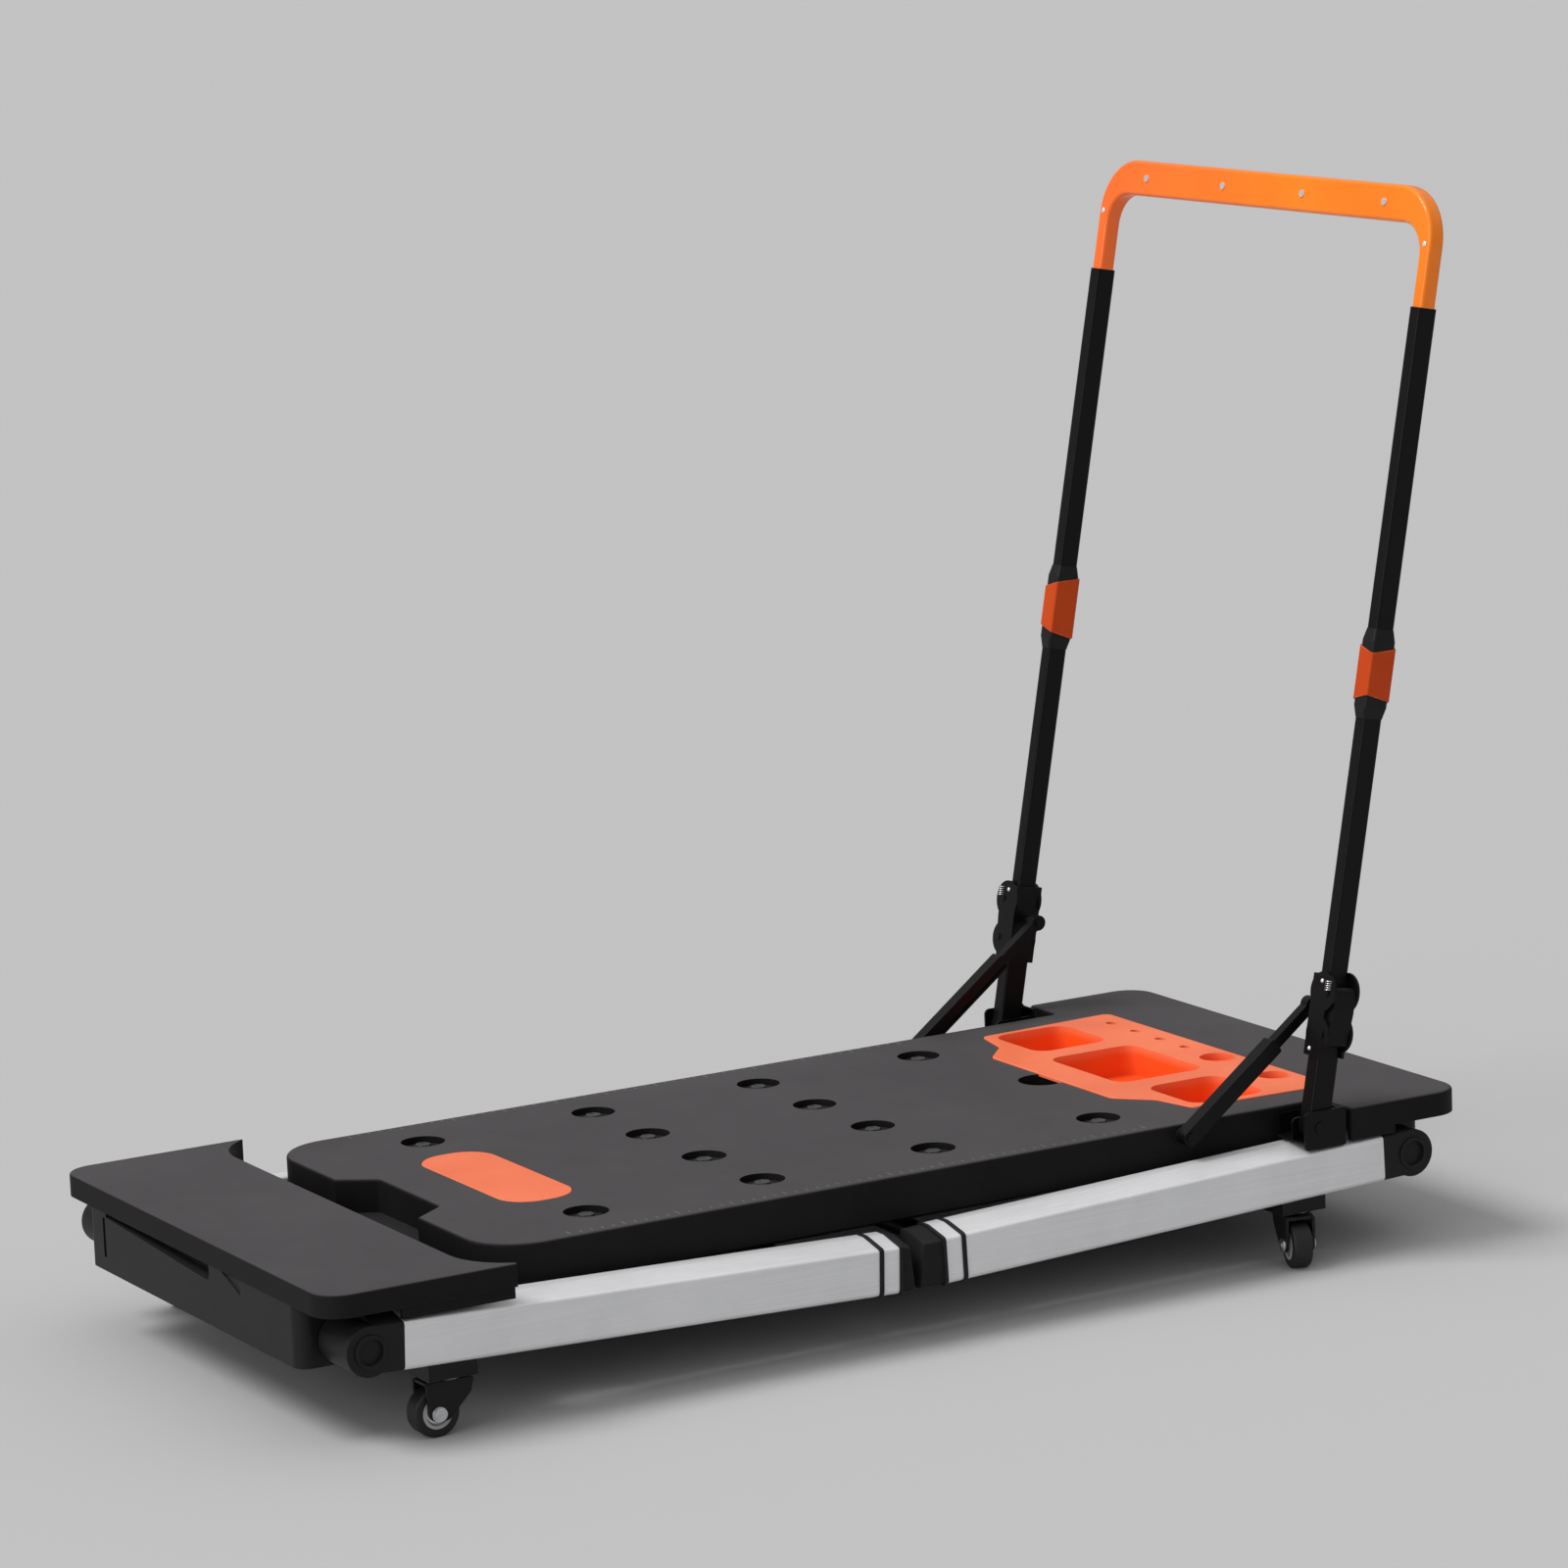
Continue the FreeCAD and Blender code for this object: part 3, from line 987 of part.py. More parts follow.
# --- All the nodes -------------------------------------------------------------------------
def build_nodes():
    nodes = {
        "deck_panel": deck_panel(),
        "deck_bolts": deck_bolts(),
        "pad_insert": pad_insert(),
        "tool_tray": tool_tray(),
        "front_plate": front_plate(),
        "front_housing": end_housing(-HALF_LENGTH, 1, FRONT_HOUSING_INSET, FRONT_PLATE_THICKNESS,
                                     FRONT_PIVOT_X, FRONT_GRIP_RECESS).cut(front_housing_marks()),
        "rear_housing": end_housing(HALF_LENGTH, -1, REAR_HOUSING_INSET, REAR_PLATE_THICKNESS,
                                    REAR_PIVOT_X, REAR_GRIP_RECESS),
        "leg_pivot_pins": leg_pivot_pins(),
        "subframe": subframe(),
        "base_brackets": base_bracket(),
        "handle_pivot_pins": handle_pivot_pins(),
        "latch_plates": place_handle(latch_plates()),
        "couplers": place_handle(both_sides(coupler())),
        "coupler_bands": place_handle(both_sides(band_blank())),
        "grip": place_handle(grip()),
        "grip_rivets": place_handle(grip_rivets()),
    }
    for side, sign in SIDES.items():
        nodes["lower_post_" + side] = place_handle(on_side(lower_post(), sign))
        nodes["upper_post_" + side] = place_handle(on_side(upper_post(), sign))
        nodes["lock_lever_" + side] = place_handle(on_side(lock_lever(), sign))
        nodes["brace_" + side] = on_side(brace(), sign)
    for end in ("front", "rear"):
        rear = end == "rear"
        nodes["leg_knuckles_" + end] = place_leg(both_sides(leg_knuckle()), rear)
        nodes["leg_collars_" + end] = place_leg(leg_collars(rear), rear)
        nodes["leg_sleeves_" + end] = place_leg(both_sides(leg_sleeve(rear)), rear)
        nodes["leg_feet_" + end] = place_leg(both_sides(leg_foot(rear)), rear)
        nodes["leg_cross_tube_" + end] = place_leg(leg_cross_tube(), rear)
        nodes["caster_mounts_" + end] = both_sides(caster_mount(end))
        for side, sign in SIDES.items():
            label = end + "_" + side
            nodes["rail_" + label] = place_leg(on_side(leg_rail(rear), sign), rear)
            nodes["leg_button_" + label] = place_leg(on_side(leg_button(), sign), rear)
            nodes["caster_fork_" + label] = place_caster(caster_fork(), end, side)
            nodes["caster_axle_" + label] = place_caster(caster_axle(), end, side)
            nodes["caster_tyre_" + label] = place_caster(caster_tyre(), end, side)
            nodes["caster_hub_" + label] = place_caster(caster_hub(), end, side)
    return nodes


def overall_middle(nodes):
    """Middle of the whole cart along X."""
    low = min(shape.optimalBoundingBox(False).XMin for shape in nodes.values())
    high = max(shape.optimalBoundingBox(False).XMax for shape in nodes.values())
    return (low + high) / 2


os.makedirs("parts", exist_ok=True)
NODES = build_nodes()
ORIGIN_X = overall_middle(NODES)
for name, shape in NODES.items():
    shape.translate(FreeCAD.Vector(-ORIGIN_X, 0, 0))
    shape.exportStep("parts/" + name + ".step")
print(len(NODES), "nodes; the deck's middle is at x =", round(-ORIGIN_X, 3))
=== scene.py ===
# %% [markdown]
# # Folding platform cart
# A low moulded deck on casters, with a folding push handle and two fold-out leg frames.
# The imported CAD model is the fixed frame: every part is already in its place and size.
# This script gives each part its finish, and adds the small pieces that CAD leaves plain.

import json
import math

import bmesh
import bpy
from mathutils import Matrix, Vector


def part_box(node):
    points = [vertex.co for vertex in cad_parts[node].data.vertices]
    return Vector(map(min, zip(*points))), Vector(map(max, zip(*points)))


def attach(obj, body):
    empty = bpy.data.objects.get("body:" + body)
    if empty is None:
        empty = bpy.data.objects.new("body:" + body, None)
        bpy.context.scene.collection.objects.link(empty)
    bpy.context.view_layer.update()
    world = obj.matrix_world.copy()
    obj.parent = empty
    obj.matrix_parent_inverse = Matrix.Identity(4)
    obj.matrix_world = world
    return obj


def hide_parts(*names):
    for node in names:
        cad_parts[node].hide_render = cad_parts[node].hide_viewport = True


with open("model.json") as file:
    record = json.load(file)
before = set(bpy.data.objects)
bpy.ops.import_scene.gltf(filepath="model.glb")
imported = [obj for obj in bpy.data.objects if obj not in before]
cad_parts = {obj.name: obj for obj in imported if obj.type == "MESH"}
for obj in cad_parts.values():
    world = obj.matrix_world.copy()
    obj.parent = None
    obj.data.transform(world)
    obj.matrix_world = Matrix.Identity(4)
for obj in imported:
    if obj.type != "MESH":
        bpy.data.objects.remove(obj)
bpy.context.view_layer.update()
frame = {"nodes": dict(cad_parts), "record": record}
nodes = frame["nodes"]
MM = 0.001
SIDES = {"left": 1, "right": -1}
ENDS = ("front", "rear")

# %% [markdown]
# ## Camera
# A long lens far away keeps the cart's long lines almost parallel. The camera looks down by
# about eleven degrees from the front right corner, and rolls a little.
# Its three axes are worked out from those angles and set as a matrix, so no constraint is needed.

# %% Camera
CAMERA_PLACE = Vector((-2.4265, -4.292, 1.353))
VIEW_TURN = math.radians(-29.74)
VIEW_DROP = math.radians(10.61)
VIEW_ROLL = math.radians(-2.24)
LENS_MM = 136.57


def camera_axes(turn, drop, roll):
    """Right, up and backward directions of a camera."""
    back = Vector((math.sin(turn) * math.cos(drop), -math.cos(turn) * math.cos(drop), math.sin(drop)))
    right = Vector((math.cos(turn), math.sin(turn), 0))
    up = back.cross(right)
    rolled_right = right * math.cos(roll) + up * math.sin(roll)
    rolled_up = up * math.cos(roll) - right * math.sin(roll)
    return rolled_right, rolled_up, back


camera_data = bpy.data.cameras.new("studio_camera")
camera_data.lens = LENS_MM
camera_data.sensor_width = 36
camera_data.clip_end = 200
camera = bpy.data.objects.new("studio_camera", camera_data)
bpy.context.collection.objects.link(camera)
axes = Matrix(camera_axes(VIEW_TURN, VIEW_DROP, VIEW_ROLL)).transposed().to_4x4()
camera.matrix_world = Matrix.Translation(CAMERA_PLACE) @ axes
bpy.context.scene.camera = camera
print("camera at", tuple(round(v, 2) for v in CAMERA_PLACE), "lens", LENS_MM, "mm")

# %% [markdown]
# ## Studio
# The floor is one wide pale sheet, so the background is the floor itself all the way up.
# The world is a soft dome, brighter overhead. A broad sun from the front left lights the
# tops and leaves the near side in shade, and a weaker one lights what faces the front.
# Suns light the whole floor alike, so the background has one even grey.

# %% Floor and light
FLOOR_HALF = 60.0
WORLD_STRENGTH = 0.64
FLOOR_COLOUR = (0.50, 0.50, 0.50, 1)


def studio_floor():
    """One large square on the floor plane."""
    sheet = bmesh.new()
    bmesh.ops.create_grid(sheet, x_segments=1, y_segments=1, size=FLOOR_HALF)
    mesh = bpy.data.meshes.new("studio_floor")
    sheet.to_mesh(mesh)
    sheet.free()
    floor = bpy.data.objects.new("studio_floor", mesh)
    bpy.context.collection.objects.link(floor)
    finish = bpy.data.materials.new("studio_floor")
    finish.use_nodes = True
    shader = finish.node_tree.nodes["Principled BSDF"]
    shader.inputs["Base Color"].default_value = FLOOR_COLOUR
    shader.inputs["Roughness"].default_value = 0.9
    shader.inputs["Specular IOR Level"].default_value = 0.1
    mesh.materials.append(finish)
    return floor


def studio_world():
    """A dome that is brighter overhead than at the horizon."""
    world = bpy.data.worlds.new("studio_dome")
    bpy.context.scene.world = world
    world.use_nodes = True
    tree = world.node_tree
    where = tree.nodes.new("ShaderNodeTexCoord")
    split = tree.nodes.new("ShaderNodeSeparateXYZ")
    ramp = tree.nodes.new("ShaderNodeValToRGB")
    ramp.color_ramp.elements[0].position = 0.0
    ramp.color_ramp.elements[0].color = (0.34, 0.34, 0.35, 1)
    ramp.color_ramp.elements[1].position = 0.85
    ramp.color_ramp.elements[1].color = (1.0, 1.0, 1.0, 1)
    tree.links.new(where.outputs["Generated"], split.inputs["Vector"])
    tree.links.new(split.outputs["Z"], ramp.inputs["Fac"])
    tree.links.new(ramp.outputs["Color"], tree.nodes["Background"].inputs["Color"])
    tree.nodes["Background"].inputs["Strength"].default_value = WORLD_STRENGTH
    return world


def sun(name, energy, towards, spread):
    """A sun that shines along one direction; a wider spread gives softer shadows."""
    data = bpy.data.lights.new(name, "SUN")
    data.energy = energy
    data.angle = math.radians(spread)
    made = bpy.data.objects.new(name, data)
    bpy.context.collection.objects.link(made)
    made.rotation_euler = Vector(towards).to_track_quat("-Z", "Y").to_euler()
    return made


studio_floor()
studio_world()
sun("key_sun", 1.87, (0.70, -0.22, -1.0), spread=26)
sun("front_sun", 0.78, (1.0, 0.30, -0.30), spread=40)
bpy.context.scene.view_settings.view_transform = "Standard"
print("studio: floor, dome and two suns")

# %% [markdown]
# ## Wiring helper
# Every finish is a small net of shader nodes. One helper fills a node's inputs with numbers,
# colours or another node's output, and a second adds the node and sets its options, so a net
# reads like a list. A third helper starts a node group: a named box with its own inputs and outputs, made once
# and then placed in many materials with different values.

# %% Wiring helper
def fill(tree, made, inputs):
    """Give a node its inputs. One named at0, at1 ... is chosen by its number, not its name."""
    for key, value in inputs.items():
        by_number = key.startswith("at") and key[2:].isdigit()
        socket = made.inputs[int(key[2:])] if by_number else made.inputs[key.replace("_", " ")]
        if isinstance(value, bpy.types.NodeSocket):
            tree.links.new(value, socket)
        else:
            socket.default_value = value
    return made


def add(tree, kind, options=None, **inputs):
    """Add a node, set its options and fill its inputs."""
    made = tree.nodes.new(kind)
    for key, value in (options or {}).items():
        setattr(made, key, value)
    return fill(tree, made, inputs)


SOCKETS = {"value": "NodeSocketFloat", "colour": "NodeSocketColor", "vector": "NodeSocketVector"}


def start_group(name, inputs, outputs):
    """A node group's tree, its input node and its output node."""
    group = bpy.data.node_groups.new(name, "ShaderNodeTree")
    for label, kind, default in inputs:
        socket = group.interface.new_socket(name=label, in_out="INPUT", socket_type=SOCKETS[kind])
        socket.default_value = default
    for label, kind in outputs:
        group.interface.new_socket(name=label, in_out="OUTPUT", socket_type=SOCKETS[kind])
    return group, group.nodes.new("NodeGroupInput"), group.nodes.new("NodeGroupOutput")


def place_group(tree, group, **inputs):
    """One copy of a group in a material."""
    made = tree.nodes.new("ShaderNodeGroup")
    made.node_tree = group
    return fill(tree, made, inputs)


print("helpers ready; sockets:", ", ".join(SOCKETS))

# %% [markdown]
# ## Moulded skin
# Moulded plastic is etched with a fine grain so that it doesn't shine, and its colour drifts a
# little from place to place. Two noises make it: a fine one for the grain and a broad one for
# the drift. Object coordinates are metres here, so a scale of 900 gives grains about a
# millimetre across. The group gives a colour, a change of roughness and a height for bump.

# %% Moulded skin
def build_moulded_skin():
    group, given, result = start_group(
        "moulded_skin",
        [("Deep Colour", "colour", (0.01, 0.01, 0.01, 1)), ("Raised Colour", "colour", (0.03, 0.03, 0.03, 1)),
         ("Grain Scale", "value", 900.0), ("Roughness", "value", 0.5), ("Spread", "value", 0.12)],
        [("Colour", "colour"), ("Roughness", "value"), ("Height", "value")])
    where = add(group, "ShaderNodeTexCoord").outputs["Object"]
    grain = add(group, "ShaderNodeTexNoise", Vector=where, Scale=given.outputs["Grain Scale"], Detail=4.0,
                Roughness=0.6)
    drift = add(group, "ShaderNodeTexNoise", Vector=where, Scale=11.0, Detail=5.0, Roughness=0.55)
    both = add(group, "ShaderNodeMath", {"operation": "MULTIPLY_ADD"}, at0=grain.outputs["Fac"], at1=0.45,
               at2=drift.outputs["Fac"])
    share = add(group, "ShaderNodeMapRange", Value=both.outputs[0], From_Min=0.45, From_Max=1.05)
    tint = add(group, "ShaderNodeMix", {"data_type": "RGBA"}, at0=share.outputs[0],
               at6=given.outputs["Deep Colour"], at7=given.outputs["Raised Colour"])
    offset = add(group, "ShaderNodeMath", {"operation": "SUBTRACT"}, at0=drift.outputs["Fac"], at1=0.5)
    rough = add(group, "ShaderNodeMath", {"operation": "MULTIPLY_ADD"}, at0=offset.outputs[0],
                at1=given.outputs["Spread"], at2=given.outputs["Roughness"])
    group.links.new(tint.outputs[2], result.inputs["Colour"])
    group.links.new(rough.outputs[0], result.inputs["Roughness"])
    group.links.new(grain.outputs["Fac"], result.inputs["Height"])
    return group


MOULDED_SKIN = build_moulded_skin()
print("group:", MOULDED_SKIN.name)

# %% [markdown]
# ## Worn and highlighted edges
# Corners are rubbed first, and they also catch the light, so this mask makes them lighter than
# flat faces: partly wear, partly a painted highlight along every edge. The Bevel node gives the
# normal that a rounded corner would have; where it differs from the true normal there is an
# edge. A noise breaks the line up, because real wear is never even.

# %% Worn and highlighted edges
def build_edge_wear_and_highlight():
    group, given, result = start_group(
        "edge_wear_and_highlight", [("Width", "value", 0.0012), ("Amount", "value", 0.6)], [("Mask", "value")])
    rounded = add(group, "ShaderNodeBevel", {"samples": 4}, Radius=given.outputs["Width"])
    flat = add(group, "ShaderNodeNewGeometry")
    match = add(group, "ShaderNodeVectorMath", {"operation": "DOT_PRODUCT"}, at0=rounded.outputs[0],
                at1=flat.outputs["Normal"])
    edge = add(group, "ShaderNodeMapRange", Value=match.outputs["Value"], From_Min=0.995, From_Max=0.86)
    where = add(group, "ShaderNodeTexCoord").outputs["Object"]
    patch = add(group, "ShaderNodeTexNoise", Vector=where, Scale=70.0, Detail=6.0, Roughness=0.7)
    broken = add(group, "ShaderNodeMapRange", Value=patch.outputs["Fac"], From_Min=0.38, From_Max=0.66)
    mask = add(group, "ShaderNodeMath", {"operation": "MULTIPLY"}, at0=edge.outputs[0], at1=broken.outputs[0])
    scaled = add(group, "ShaderNodeMath", {"operation": "MULTIPLY", "use_clamp": True}, at0=mask.outputs[0],
                 at1=given.outputs["Amount"])
    group.links.new(scaled.outputs[0], result.inputs["Mask"])
    return group


EDGE_WEAR_AND_HIGHLIGHT = build_edge_wear_and_highlight()
print("group:", EDGE_WEAR_AND_HIGHLIGHT.name)

# %% [markdown]
# ## Dust and painted top light
# Faces that look up are made lighter. A little of that is dust and fine scuffs; most of it is
# painted light, the light that falls on top faces. The object's own normal is read, not the
# world's, so the mask stays where it is when the handle folds. Below a given level it drops to a
# quarter, which paints shade at the bottom of the pockets.

# %% Dust and painted top light
def build_dust_and_top_light():
    group, given, result = start_group(
        "dust_and_top_light", [("Amount", "value", 0.5), ("Level", "value", -1.0)], [("Mask", "value")])
    where = add(group, "ShaderNodeTexCoord")
    split = add(group, "ShaderNodeSeparateXYZ", Vector=where.outputs["Normal"])
    upward = add(group, "ShaderNodeMapRange", Value=split.outputs["Z"], From_Min=0.55, From_Max=0.98)
    cloud = add(group, "ShaderNodeTexNoise", Vector=where.outputs["Object"], Scale=6.0, Detail=8.0,
                Roughness=0.68)
    uneven = add(group, "ShaderNodeMapRange", Value=cloud.outputs["Fac"], From_Min=0.3, From_Max=0.7,
                 To_Min=0.75)
    height = add(group, "ShaderNodeSeparateXYZ", Vector=where.outputs["Object"]).outputs["Z"]
    above = add(group, "ShaderNodeMath", {"operation": "ADD"}, at0=given.outputs["Level"], at1=0.002).outputs[0]
    # Below Level the mask falls to a quarter: painted shade in the pockets.
    open_top = add(group, "ShaderNodeMapRange", Value=height, From_Min=given.outputs["Level"], From_Max=above,
                   To_Min=0.25)
    mask = add(group, "ShaderNodeMath", {"operation": "MULTIPLY"}, at0=upward.outputs[0], at1=uneven.outputs[0])
    level = add(group, "ShaderNodeMath", {"operation": "MULTIPLY"}, at0=mask.outputs[0],
                at1=open_top.outputs[0])
    scaled = add(group, "ShaderNodeMath", {"operation": "MULTIPLY", "use_clamp": True}, at0=level.outputs[0],
                 at1=given.outputs["Amount"])
    group.links.new(scaled.outputs[0], result.inputs["Mask"])
    return group


DUST_AND_TOP_LIGHT = build_dust_and_top_light()
print("group:", DUST_AND_TOP_LIGHT.name)

# %% [markdown]
# ## Drawn streaks
# Extruded and brushed metal has fine lines along its length. A noise is stretched until its
# spots become streaks: a small scale along the line and a large one across it.

# %% Drawn streaks
def build_drawn_streaks():
    group, given, result = start_group(
        "drawn_streaks", [("Stretch", "vector", (5.0, 700.0, 700.0)), ("Contrast", "value", 1.0)],
        [("Value", "value")])
    where = add(group, "ShaderNodeTexCoord").outputs["Object"]
    pulled = add(group, "ShaderNodeMapping", Vector=where, Scale=given.outputs["Stretch"])
    lines = add(group, "ShaderNodeTexNoise", Vector=pulled.outputs[0], Scale=1.0, Detail=3.0, Roughness=0.6)
    centred = add(group, "ShaderNodeMath", {"operation": "SUBTRACT"}, at0=lines.outputs["Fac"], at1=0.5)
    value = add(group, "ShaderNodeMath", {"operation": "MULTIPLY_ADD"}, at0=centred.outputs[0],
                at1=given.outputs["Contrast"], at2=0.5)
    group.links.new(value.outputs[0], result.inputs["Value"])
    return group


DRAWN_STREAKS = build_drawn_streaks()
print("group:", DRAWN_STREAKS.name)

# %% [markdown]
# ## Starting a finish
# A material starts with its Principled shader. Numbers that are the same all over the surface
# are set straight on the shader; only what changes over the surface comes through nodes.

# %% Starting a finish
def start_finish(name, **constants):
    """A material, its node tree and its shader, with the shader's constant sockets set."""
    finish = bpy.data.materials.new(name)
    finish.use_nodes = True
    shader = finish.node_tree.nodes["Principled BSDF"]
    for key, value in constants.items():
        shader.inputs[key.replace("_", " ")].default_value = value
    return finish, finish.node_tree, shader


def mixed(tree, share, first, second):
    """A colour between two, by a mask."""
    return add(tree, "ShaderNodeMix", {"data_type": "RGBA"}, at0=share, at6=first, at7=second).outputs[2]


def bumped(tree, height, strength, distance):
    """A normal made from a height."""
    return add(tree, "ShaderNodeBump", Height=height, Strength=strength, Distance=distance).outputs[0]


def moulded_finish(name, deep, raised, wear_and_highlight_colour, roughness, scale, wear_and_highlight_amount, dust_and_top_light_amount, dust_and_top_light_colour, relief, level=-1.0,
                    **constants):
    """Grained plastic; edges lighter by wear and painted highlight, tops by dust and painted light."""
    finish, tree, shader = start_finish(name, **constants)
    skin = place_group(tree, MOULDED_SKIN, Deep_Colour=deep, Raised_Colour=raised, Grain_Scale=scale,
                       Roughness=roughness, Spread=0.25)
    edge = place_group(tree, EDGE_WEAR_AND_HIGHLIGHT, Amount=wear_and_highlight_amount).outputs["Mask"]
    dust_and_top_light_mask = place_group(tree, DUST_AND_TOP_LIGHT, Amount=dust_and_top_light_amount, Level=level).outputs["Mask"]
    colour = mixed(tree, edge, skin.outputs["Colour"], wear_and_highlight_colour)
    tree.links.new(mixed(tree, dust_and_top_light_mask, colour, dust_and_top_light_colour), shader.inputs["Base Color"])
    tree.links.new(skin.outputs["Roughness"], shader.inputs["Roughness"])
    tree.links.new(bumped(tree, skin.outputs["Height"], relief, 0.0004), shader.inputs["Normal"])
    return finish


print("finish helpers ready")

# %% [markdown]
# ## Plastic finishes
# The deck is a matte charcoal moulding with a coarse grain; its top faces get a lighter grey,
# mostly painted light falling on them and a little dust. The housings are darker and smoother,
# with less of that top light. The tray and the pad are a warm orange with a satin face, painted
# darker and redder inside the tubs as shade.

# %% Plastic finishes
PAD_PROUD = 0.4 * MM
DECK_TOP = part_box("pad_insert")[1][2] - PAD_PROUD
TRAY_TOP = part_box("tool_tray")[1][2]
POCKET_SHADE = 3.5 * MM
# Deck tops painted lighter grey: mostly painted top light, some dust; less in pockets (painted shade).
DECK_SKIN = moulded_finish(
    "deck_charcoal", (0.0050, 0.0045, 0.0052, 1), (0.012, 0.011, 0.0125, 1), (0.05, 0.05, 0.05, 1), 0.62, 750.0,
    0.30, 0.78, (0.094, 0.088, 0.092, 1), 0.35, level=DECK_TOP - POCKET_SHADE, Specular_IOR_Level=0.12)
HOUSING_SKIN = moulded_finish(
    "housing_charcoal", (0.0060, 0.0058, 0.0062, 1), (0.013, 0.0125, 0.0135, 1), (0.05, 0.05, 0.052, 1), 0.5,
    1100.0, 0.35, 0.25, (0.05, 0.05, 0.05, 1), 0.25, Specular_IOR_Level=0.20)
print("finishes:", DECK_SKIN.name, HOUSING_SKIN.name)


def orange_moulding():
    """Satin orange plastic: painted salmon highlight on the rims, painted redder shade down the tubs."""
    finish, tree, shader = start_finish("orange_moulding", Specular_IOR_Level=0.35)
    where = add(tree, "ShaderNodeTexCoord").outputs["Object"]
    height = add(tree, "ShaderNodeSeparateXYZ", Vector=where).outputs["Z"]
    # Below the tray's top the colour turns a darker, deeper red: painted shade down in the tubs.
    painted_tub_shade = add(tree, "ShaderNodeMapRange", {"interpolation_type": "SMOOTHSTEP"}, Value=height,
               From_Min=TRAY_TOP - 0.0004, From_Max=TRAY_TOP - 0.010)
    skin = place_group(tree, MOULDED_SKIN, Deep_Colour=(0.84, 0.150, 0.052, 1),
                       Raised_Colour=(0.98, 0.225, 0.098, 1), Grain_Scale=1300.0, Roughness=0.46, Spread=0.2)
    deep = mixed(tree, painted_tub_shade.outputs[0], skin.outputs["Colour"], (0.90, 0.100, 0.012, 1))
    # Rims and edges turn light salmon: a painted highlight, with some wear.
    edge = place_group(tree, EDGE_WEAR_AND_HIGHLIGHT, Amount=0.35).outputs["Mask"]
    tree.links.new(mixed(tree, edge, deep, (0.95, 0.42, 0.27, 1)), shader.inputs["Base Color"])
    tree.links.new(skin.outputs["Roughness"], shader.inputs["Roughness"])
    tree.links.new(bumped(tree, skin.outputs["Height"], 0.16, 0.0003), shader.inputs["Normal"])
    return finish


ORANGE_MOULDING = orange_moulding()
# Coupler bands: the bright orange edges at a high amount are wear and a painted highlight.
BAND_ORANGE = moulded_finish(
    "band_orange", (0.50, 0.048, 0.004, 1), (0.64, 0.080, 0.009, 1), (1.0, 0.38, 0.16, 1), 0.42, 1200.0,
    0.8, 0.1, (0.8, 0.25, 0.10, 1), 0.2, Specular_IOR_Level=0.15)
print("finishes:", ORANGE_MOULDING.name, BAND_ORANGE.name)

# %% [markdown]
# ## Painted steel
# The grip has a glossy orange paint. Spray paint dries with a faint waviness called orange
# peel, made here by a very low bump under a clear coat. The posts and brackets have a black
# powder coat, which is duller and finely pebbled, and is lighter grey at its edges, partly bare
# where it is rubbed and partly a painted highlight.

# %% Painted steel
def gloss_paint():
    finish, tree, shader = start_finish("gloss_orange_paint", Coat_Weight=0.35, Coat_Roughness=0.10,
                                        Specular_IOR_Level=0.25)
    where = add(tree, "ShaderNodeTexCoord").outputs["Object"]
    peel = add(tree, "ShaderNodeTexNoise", Vector=where, Scale=420.0, Detail=2.0).outputs["Fac"]
    skin = place_group(tree, MOULDED_SKIN, Deep_Colour=(0.94, 0.190, 0.004, 1),
                       Raised_Colour=(1.0, 0.255, 0.008, 1), Grain_Scale=300.0, Roughness=0.34, Spread=0.15)
    across = add(tree, "ShaderNodeSeparateXYZ", Vector=where).outputs["Y"]
    redder = add(tree, "ShaderNodeMapRange", {"interpolation_type": "SMOOTHSTEP"}, Value=across, From_Min=-0.05,
                 From_Max=0.27, To_Max=0.75)
    body = mixed(tree, redder.outputs[0], skin.outputs["Colour"], (1.0, 0.150, 0.024, 1))
    # Lighter orange edges: some wear, and a painted highlight.
    edge = place_group(tree, EDGE_WEAR_AND_HIGHLIGHT, Amount=0.3, Width=0.0018).outputs["Mask"]
    tree.links.new(mixed(tree, edge, body, (1.0, 0.42, 0.12, 1)), shader.inputs["Base Color"])
    tree.links.new(skin.outputs["Roughness"], shader.inputs["Roughness"])
    tree.links.new(bumped(tree, peel, 0.08, 0.0004), shader.inputs["Normal"])
    return finish


def powder_coat(name, deep, raised, wear_and_highlight_colour, roughness, wear_and_highlight_amount):
    finish, tree, shader = start_finish(name, Specular_IOR_Level=0.16)
    where = add(tree, "ShaderNodeTexCoord").outputs["Object"]
    pebbles = add(tree, "ShaderNodeTexVoronoi", {"feature": "SMOOTH_F1"}, Vector=where, Scale=950.0)
    skin = place_group(tree, MOULDED_SKIN, Deep_Colour=deep, Raised_Colour=raised, Grain_Scale=500.0,
                       Roughness=roughness, Spread=0.3)
    # Lighter edges: bare coat where rubbed, and a painted highlight.
    edge = place_group(tree, EDGE_WEAR_AND_HIGHLIGHT, Amount=wear_and_highlight_amount, Width=0.0009).outputs["Mask"]
    tree.links.new(mixed(tree, edge, skin.outputs["Colour"], wear_and_highlight_colour), shader.inputs["Base Color"])
    tree.links.new(skin.outputs["Roughness"], shader.inputs["Roughness"])
    tree.links.new(bumped(tree, pebbles.outputs["Distance"], 0.18, 0.0004), shader.inputs["Normal"])
    return finish


GLOSS_ORANGE = gloss_paint()
POWDER_BLACK = powder_coat("powder_black", (0.0016, 0.0016, 0.0019, 1), (0.0042, 0.0042, 0.0048, 1),
                           (0.045, 0.045, 0.048, 1), 0.42, 0.45)
FORK_BLACK = powder_coat("fork_black", (0.006, 0.006, 0.0065, 1), (0.013, 0.013, 0.014, 1),
                         (0.12, 0.12, 0.12, 1), 0.38, 0.5)
print("finishes:", GLOSS_ORANGE.name, POWDER_BLACK.name, FORK_BLACK.name)
